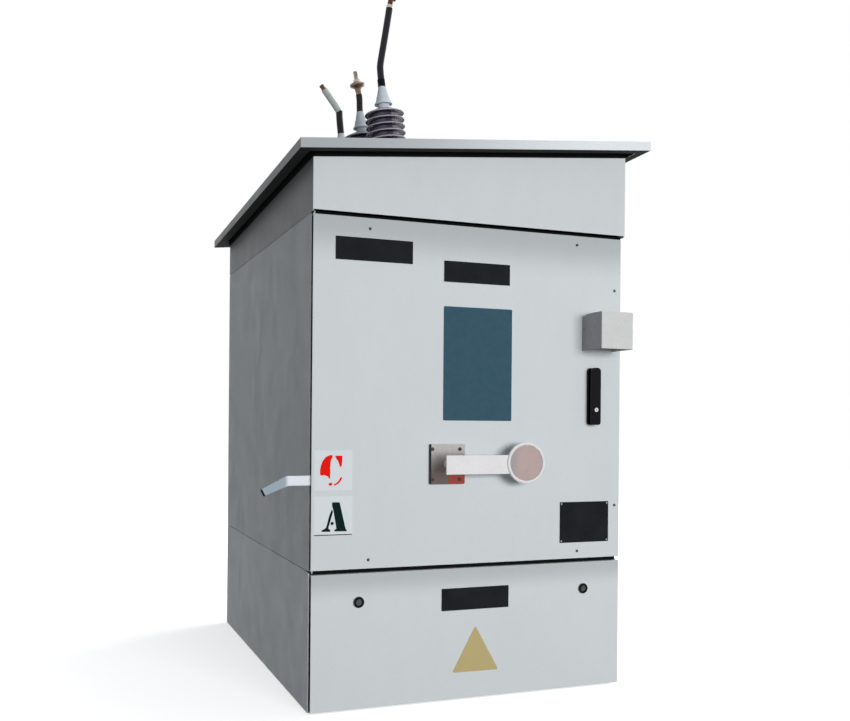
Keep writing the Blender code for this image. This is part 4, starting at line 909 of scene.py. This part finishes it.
def build_terminals(first_end, clamp_foot, third_end):
    """A crimped lug with a flat palm, a clamp with its stud, and a crimped stub."""
    before, after = first_end
    along = (after - before).normalized()
    place = standing(after, along)
    shape = turned_shape(crimped_barrel(0.0300, (0.0220, 0.0130)), place, 40)
    # The palm is the tube's own end, pressed flat. It faces the front.
    lean = Matrix.Translation(after + along * 0.0455)
    lean = lean @ Matrix.Rotation(math.atan2(along.x, along.z), 4, "Y")
    palm = lean @ Matrix.Rotation(math.pi / 2, 4, "X") @ Matrix.Translation((0, 0, -0.0028))
    plate_shape(rounded(0.032, 0.040, 0.006), 0.0056, palm, shape)
    lug = broken_edges(piece("crimped_lug", shape, COPPER), 0.0006, 2)
    rides(lug, "housing", "copper", "lug_1")
    spot = lean @ Vector((0, -0.0029, 0.005))
    fastened("lug_bolt", "hex", [spot], "housing", STUD, size=0.8)
    ferrule = in_mm(
        (0, 9.2), (9.6, 9.2), (10.2, 8.4), (10.2, 1.2), (9.8, 0.4), (0, 0.4),
    )
    rides(piece("lead_ferrule", turned_shape(ferrule, place, 40), STUD), "housing", "copper")

    before, after = third_end
    along = (after - before).normalized()
    place = standing(after, along)
    stub = turned_shape(crimped_barrel(0.0182, (0.0090,)), place, 40)
    rides(piece("crimped_stub", stub, COPPER), "housing", "copper", "stub_3")

    foot = Matrix.Translation(clamp_foot) @ Matrix.Rotation(CLAMP_LEAN, 4, "Y")
    clamp = in_mm(
        (0, 39.5), (13, 39.5), (15, 38), (22.5, 34.5), (23.8, 32), (23.8, 28.5), (22.5, 26.2),
        (14, 22.5), (10.5, 18), (8.8, 6), (9.2, 0.4), (0, 0.4),
    )
    body = piece("bronze_clamp", turned_shape(clamp, foot), BRONZE, 40)
    rides(body, "housing", "bronze", "clamp_2")
    thread = [(0, 0.0745), (0.0062, 0.0745)]
    for i in range(14):
        high = 0.0730 - i * 0.0018
        thread += [(0.0076, high), (0.0068, high - 0.0009)]
    thread += [(0.0068, 0.0390), (0, 0.0390)]
    stud = turned_shape(thread, foot, 32)
    plate_shape(hexagon(0.0118), 0.0075, foot @ Matrix.Translation((0, 0, 0.0398)), stud)
    rides(piece("clamp_stud", stud, STUD), "housing", "bronze")


# ---- door furniture


def plate(name, x, height, thick, material, corner=0.0015, core=None, body="door_leaf"):
    """A thin plate on the door side: x and height are (low, high). The bevel shows its core."""
    wide, tall = x[1] - x[0], height[1] - height[0]
    place = toward_front(on_door(sum(x) / 2, sum(height) / 2, SKIN))
    made = piece(name, plate_shape(rounded(wide, tall, corner, 3), thick, place), material)
    if core:
        made.data.materials.append(core)
        bevel = made.modifiers.new("bevel", "BEVEL")
        bevel.width = thick * 0.7
        bevel.segments = 1
        bevel.material = 1
        bevel.limit_method = "ANGLE"
        made = settled(made, smooth=20)
    rides(made, body, "white_paint" if material == WHITE_FILM else "black_plastic")


def letter(name, outlines, material):
    """A cut-vinyl letter from outlines in millimetres from the door's left edge and height."""
    shape = bmesh.new()
    for outline in outlines:
        points = [((x - 60) * MM, (z - 560) * MM) for x, z in outline]
        plate_shape(points, 0.0003, toward_front(on_door(0.060, 0.560, 0.0005)), shape)
    return rides(piece(name, shape, material, 20), "door_leaf", "white_paint")


def build_signs():
    dark, core = BLACK_LAMINATE, CORE_LAMINATE
    plate("maker_plate_blank", (0.059, 0.269), (1.148, 1.208), 0.0012, dark, core=core)
    plate("feature_plate_blank", (0.356, 0.550), (1.108, 1.165), 0.0012, dark, core=core)
    plate("rating_plate_blank", (0.709, 0.864), (0.405, 0.518), 0.0010, dark)
    plate("sign_blank", (0.357, 0.557), (0.742, 1.044), 0.0010, SLATE_FILM, 0.003)
    plate("bay_plate_blank", (0.357, 0.553), (0.238, 0.297), 0.0012, dark, body="bay_cover")
    tips = [Vector(tip) for tip in ((0.389, 0.073), (0.524, 0.071), (0.4555, 0.194))]
    outline = []
    for i, tip in enumerate(tips):
        # The film's tips are cut off blunt.
        outline += [tip.lerp(tips[i - 1], 0.03), tip.lerp(tips[(i + 1) % 3], 0.03)]
    triangle = plate_shape(outline, 0.0005, toward_front(on_door(0, 0, SKIN)))
    rides(piece("warning_label_blank", triangle, SAND_FILM), "bay_cover", "white_paint")

    plate("sticker_c", (0.0085, 0.1085), (0.563, 0.664), 0.0004, WHITE_FILM)
    plate("sticker_a", (0.0085, 0.1095), (0.450, 0.548), 0.0004, WHITE_FILM)
    # A dark strip under sticker A is a painted shadow below its edge.
    plate("sticker_lifted_edge", (0.009, 0.109), (0.4492, 0.4512), 0.0012, dark)
    crescent = [
        (56.2, 652.3), (48.1, 651.8), (39, 647.6), (30.9, 638.3), (26.1, 626.9), (24, 614.5),
        (23.7, 605.7), (25.2, 600.7), (34.9, 601.7), (43.1, 598.7), (47.2, 593.9),
        (49.8, 591.6), (50.4, 605.4), (50.2, 621.3), (51.2, 635.5), (53.4, 642.9),
        (56.3, 646.5),
    ]
    upper = [
        (62.8, 650.7), (82, 650.6), (81.4, 635.3), (80.4, 624.6), (78.2, 622.1), (75.2, 623.6),
        (73.3, 630), (69.9, 638.2), (64.7, 645),
    ]
    lower = [
        (80.3, 596.1), (81.8, 592.5), (78.1, 586.4), (72.6, 580.2), (65.3, 575.7),
        (60.2, 575.1), (60.1, 578.3), (67.1, 581.4), (73.5, 588.2), (77.1, 595.3),
    ]
    rest = [
        (46.2, 579.2), (49.1, 582), (55.3, 582.3), (56.1, 576.2), (50.6, 574.5), (47, 576),
    ]
    letter("letter_closed", [crescent, upper, lower, rest], RED_FILM)
    thick = [
        (55.8, 531.5), (57.2, 532.9), (73.4, 532.5), (76, 531.1), (91.8, 465.1), (95.1, 461),
        (94.8, 458.2), (62.6, 458.9), (62.2, 462.1), (67.7, 465.8), (62.7, 493.4), (60, 509.4),
        (55.8, 523.7),
    ]
    thin = [
        (55.2, 515.2), (58.2, 509.1), (55, 497.1), (46.8, 469), (47.2, 465.8), (52.3, 462.4),
        (50.9, 458.2), (29.3, 459), (27.9, 461.5), (38, 466.8), (40.9, 469.9), (49.4, 500.8),
    ]
    turns = (math.radians(30 * i) for i in range(12))
    dot = [(56.4 + 4.2 * math.cos(a), 479.3 + 4.2 * math.sin(a)) for a in turns]
    letter("letter_open", [thick, thin, dot], GREEN_FILM)

    screws = [(0.151, 1.232), (0.757, 1.234), (0.879, 1.113)]
    screws += [(0.884, 0.506), (0.764, 0.381), (0.153, 0.383)]
    spots = [on_door(x, z, SKIN) for x, z in screws]
    fastened("door_screws", "pan", spots, "door_leaf", DARK_ZINC)
    rivets = [(0.714, 0.410), (0.859, 0.410), (0.714, 0.513), (0.859, 0.513)]
    spots = [on_door(x, z, 0.0010 + SKIN) for x, z in rivets]
    fastened("rating_rivets", "rivet", spots, "door_leaf", ZINC)


def build_hood():
    # The hood's underside is near-black as painted shade.
    refinished(deburred("padlock_hood", 0.0016, HOOD_ENAMEL, 3), DARK_PAINT_AND_SHADE, looks_down)


def build_rotary_handle():
    deburred("handle_plate", 0.0010, PLATE_STEEL)
    low, high = corners("handle_plate")
    # The holes were drilled a little to the left of the plate's middle.
    sides, levels = (low.x + 0.0070, high.x - 0.0150), (low.z + 0.0120, high.z - 0.0135)
    spots = [(x, low.y - SKIN, z) for x in sides for z in levels]
    fastened("plate_screws", "pan", spots, "door_leaf", DARK_ZINC, size=1.25)

    deburred("handle_arm", 0.0020, ENAMEL, 3)
    disc_low, disc_high = corners("handle_disc")
    centre = (disc_low + disc_high) / 2
    radius = (disc_high.x - disc_low.x) / 2
    depth = disc_high.y - disc_low.y
    back = toward_front((centre.x, disc_high.y, centre.z))
    rim = [(0, depth - 0.0024), (radius - 0.0078, depth - 0.0024)]
    rim += [(radius - 0.0074, depth - 0.0008), (radius - 0.0062, depth)]
    rim += [(radius - 0.0030, depth), (radius - 0.0010, depth - 0.0010)]
    rim += [(radius, depth - 0.0032), (radius, 0.0032), (radius - 0.0010, 0.0010)]
    rim += [(radius - 0.0032, 0), (0, 0)]
    disc = piece("disc_body", turned_shape(rim, back, 96), ENAMEL, 40)
    rides(disc, "operating_handle", "polished_steel", "handle_disc")
    face = [(0, depth - 0.0009), (radius - 0.0095, depth - 0.0009)]
    face += [(radius - 0.0082, depth - 0.0015), (radius - 0.0082, depth - 0.0023)]
    face = turned_shape(face + [(0, depth - 0.0023)], back, 96)
    rides(piece("disc_face", face, DISC_FACE, 40), "operating_handle", "polished_steel")


def build_swing_handle():
    low, high = corners("lock_housing")
    middle = (low + high) / 2
    outline = arched(high.x - low.x, high.z - low.z, 0.007, 0.004)
    place = toward_front((middle.x, high.y, middle.z))
    housing = piece("lock_escutcheon", plate_shape(outline, high.y - low.y, place), NYLON)
    rides(broken_edges(housing, 0.0012, 3), "door_leaf", "black_plastic", "lock_housing")

    low, high = corners("swing_lever")
    middle = (low + high) / 2
    wide, tall, deep = high.x - low.x, high.z - low.z, high.y - low.y
    # The grip's back is a narrower rib, so that fingers reach round it.
    rib_depth = 0.0125
    face = toward_front((middle.x, high.y - rib_depth + 0.0005, middle.z))
    lever = plate_shape(arched(wide, tall, 0.0075, 0.004), deep - rib_depth, face)
    rib = rounded(wide - 0.010, tall - 0.060, 0.006)
    back = toward_front((middle.x, high.y - 0.0002, middle.z - 0.024))
    lever = piece("lever_grip", plate_shape(rib, rib_depth, back, lever), NYLON)
    rides(broken_edges(lever, 0.0022, 4), "swing_handle", "black_plastic", "swing_lever")

    low, high = corners("key_cylinder")
    x, z = (low.x + high.x) / 2, (low.z + high.z) / 2
    barrel = in_mm(
        (0, 13.9), (3, 13.9), (4.6, 14.2), (5.8, 13.8), (6.4, 12.5), (6.4, 0), (0, 0),
    )
    key = piece("key_barrel", turned_shape(barrel, toward_front((x, high.y, z)), 40), CHROME, 30)
    mouth, end = Vector((x, low.y - 0.01, z)), Vector((x, low.y + 0.006, z))
    half = Vector((0.0006, 0, 0.0034))
    slot = box_shape(mouth - half, end + half)
    key = cut_out(key, piece("key_slot", slot, DARK_PAINT_AND_SHADE), 30)
    rides(key, "key_barrel", "chrome_plate", "key_cylinder")


def build_turn_locks():
    """The cover's quarter-turn locks: a dark ring round a bit dulled by wear."""
    radius = 0.0145
    for side in ("left", "right"):
        node, body = f"turn_lock_{side}", f"{side}_turn_lock"
        NODES[node].data.materials[0] = LOCK_STEEL
        low, high = corners(node)
        x = low.x + radius if side == "left" else high.x - radius
        face = toward_front((x, low.y + SKIN, (low.z + high.z) / 2))
        ring = in_mm(
            (7.8, 1.4), (12, 1.6), (13.8, 0.8), (14.2, -0.6), (7.8, -0.6), (7.8, 1.4),
        )
        bezel = piece(f"turn_lock_bezel_{side}", turned_shape(ring, face, 48), DARK_PAINT_AND_SHADE, 40)
        rides(bezel, body, "dark_paint")
        plug = in_mm((0, 0.6), (6.6, 0.6), (7.2, 0), (7.2, -0.6), (0, -0.6))
        bit = box_shape((-0.0012, -0.0060, 0.0004), (0.0012, 0.0060, 0.0013))
        bit.transform(face)
        core = poured(bit, turned_shape(plug, face, 32))
        rides(piece(f"turn_lock_core_{side}", core, DARK_ZINC), body, "satin_steel")


def build_side_lever():
    """The release lever, whose bent part narrows to an end that is painted dark."""
    lever = deburred("side_lever", 0.0016, LEVER_ENAMEL, 3)
    low, high = corners("side_lever")
    bend = Vector((LEVER_BEND, low.y + 0.0033, high.z - 0.0140))
    run = Vector((-0.060, 0.016, -0.031))
    taper, dipped = 0.30, 0.93

    def share(point):
        """How far a point is along the bent part, from 0 at the bend to 1 at the end."""
        return (point - bend).dot(run) / run.length_squared

    for vertex in lever.data.vertices:
        along = share(vertex.co)
        if along > 0:
            line = bend + run * along
            vertex.co = line + (vertex.co - line) * (1 - taper * min(along, 1))
    shape = bmesh.new()
    shape.from_mesh(lever.data)
    everything = shape.verts[:] + shape.edges[:] + shape.faces[:]
    bmesh.ops.bisect_plane(shape, geom=everything, plane_co=bend + run * dipped, plane_no=run)
    shape.to_mesh(lever.data)
    shape.free()
    # The last part of the bent end is painted dark.
    refinished(lever, DARK_PAINT_AND_SHADE, lambda face: share(face.center) > dipped)


# ---- inside and behind


def build_inside():
    """Two bolts at the joint of each busbar, and the screws round the rear panel."""
    bolts = []
    for level in ("upper", "lower"):
        for number in (1, 2, 3):
            low, high = corners(f"{level}_busbar_{number}")
            for inset in (0.018, 0.050):
                z = high.z - inset if level == "upper" else low.z + inset
                bolts.append(((low.x + high.x) / 2, low.y - SKIN, z))
    fastened("busbar_bolts", "hex", bolts, "housing", ZINC, size=1.1)

    low, high = corners("rear_panel")
    edge = 0.012
    spots = []
    for i in range(6):
        x = low.x + edge + (high.x - low.x - 2 * edge) * i / 5
        spots += [(x, high.y + SKIN, low.z + edge), (x, high.y + SKIN, high.z - edge)]
    for i in range(1, 6):
        z = low.z + edge + (high.z - low.z - 2 * edge) * i / 6
        spots += [(low.x + edge, high.y + SKIN, z), (high.x - edge, high.y + SKIN, z)]
    fastened("rear_panel_screws", "pan", spots, "housing", ZINC, FACING_BACK)


# ---- studio


def build_camera():
    """The viewpoint: near eye level, to the left of the door."""
    camera = in_scene("camera", bpy.data.cameras.new("camera"))
    camera.data.lens = 41.15
    camera.data.sensor_width = 36
    camera.data.shift_y = 0.0708
    camera.location = (LEFT - 0.617, FRONT - 2.374, 0.741)
    turn = Matrix.Rotation(math.radians(-21.25), 4, "Z") @ Matrix.Rotation(math.pi / 2, 4, "X")
    camera.rotation_euler = (turn @ Matrix.Rotation(0.0082, 4, "Z")).to_euler()
    bpy.context.scene.camera = camera


def soft_light(name, place, target, size, power):
    light = bpy.data.lights.new(name, "AREA")
    light.shape = "RECTANGLE"
    light.size, light.size_y = size
    light.energy = power
    lamp = in_scene(name, light)
    lamp.location = place
    toward = Vector(target) - Vector(place)
    lamp.rotation_euler = toward.to_track_quat("-Z", "Y").to_euler()
    return lamp


def seen_apart(tree, unseen, seen, output):
    """Shows one shader to the camera, metal and glass, and another to all the rest."""
    path = add_node(tree, "ShaderNodeLightPath")
    ways = path.outputs["Is Camera Ray"]
    for way in ("Is Glossy Ray", "Is Transmission Ray"):
        pair = {0: ways, 1: path.outputs[way]}
        ways = add_node(tree, "ShaderNodeMath", pair, operation="MAXIMUM").outputs[0]
    mixed = add_node(tree, "ShaderNodeMixShader", {0: ways, 1: unseen, 2: seen})
    tree.links.new(mixed.outputs[0], output.inputs["Surface"])


def build_floor():
    """A floor that reads white, keeps the shadow, and throws little light back up."""
    shape = bmesh.new()
    bmesh.ops.create_circle(shape, cap_ends=True, segments=64, radius=14)
    bmesh.ops.translate(shape, vec=(0, 0, -0.0005), verts=shape.verts)
    finish, tree, shader = new_finish("pale_floor", "#F2F2F2", 0.9, Specular_IOR_Level=0.0)
    mottle(tree, shader, 400, 0.3, "#EDEDED")
    place = add_node(tree, "ShaderNodeTexCoord").outputs["Object"]
    away = add_node(tree, "ShaderNodeVectorMath", {0: place}, operation="LENGTH")
    # Past the shadow the floor goes on into the white behind it.
    span = {"Value": away.outputs["Value"], "From Min": 0.8, "From Max": 2.6, "To Min": 0.62}
    glow = add_node(tree, "ShaderNodeMapRange", span, interpolation_type="SMOOTHSTEP")
    light = add_node(tree, "ShaderNodeEmission", {"Strength": glow.outputs[0]})
    both = add_node(tree, "ShaderNodeAddShader", {0: shader.outputs[0], 1: light.outputs[0]})
    dark = add_node(tree, "ShaderNodeBsdfDiffuse", {"Color": srgb("#7C7E80")})
    white = add_node(tree, "ShaderNodeEmission", {"Strength": 1.0})
    direct = add_node(tree, "ShaderNodeLightPath").outputs["Is Camera Ray"]
    pair = {0: direct, 1: white.outputs[0], 2: both.outputs[0]}
    seen = add_node(tree, "ShaderNodeMixShader", pair).outputs[0]
    seen_apart(tree, dark.outputs[0], seen, tree.nodes["Material Output"])
    piece("floor", shape, finish)


def build_studio():
    scene = bpy.context.scene
    world = bpy.data.worlds.new("studio")
    scene.world = world
    world.use_nodes = True
    tree = world.node_tree
    tree.nodes.clear()
    output = add_node(tree, "ShaderNodeOutputWorld")
    soft = add_node(tree, "ShaderNodeBackground", {"Color": srgb("#EEF3F7"), "Strength": 0.215})
    white = add_node(tree, "ShaderNodeBackground", {"Color": (1, 1, 1, 1), "Strength": 1.0})
    seen_apart(tree, soft.outputs[0], white.outputs[0], output)
    build_floor()
    key = soft_light("key_light", (0.5, -6.3, 1.30), (0, -0.6, 0.9), (3.2, 1.6), 292)
    # Metal shows the white surroundings and not the lamp.
    key.visible_glossy = False
    soft_light("top_light", (0.9, 0.2, 5.0), (0, 0, 1.4), (3.0, 3.0), 75)
    soft_light("back_light", (4.8, 2.4, 2.4), (0, 0.1, 1.2), (3.0, 2.5), 150)
    scene.view_settings.view_transform = "Standard"


dress_sheet_metal()
build_insulators()
build_signs()
build_hood()
build_rotary_handle()
build_swing_handle()
build_turn_locks()
build_side_lever()
build_inside()
build_camera()
build_studio()
for head in HEADS.values():
    bpy.data.objects.remove(head)
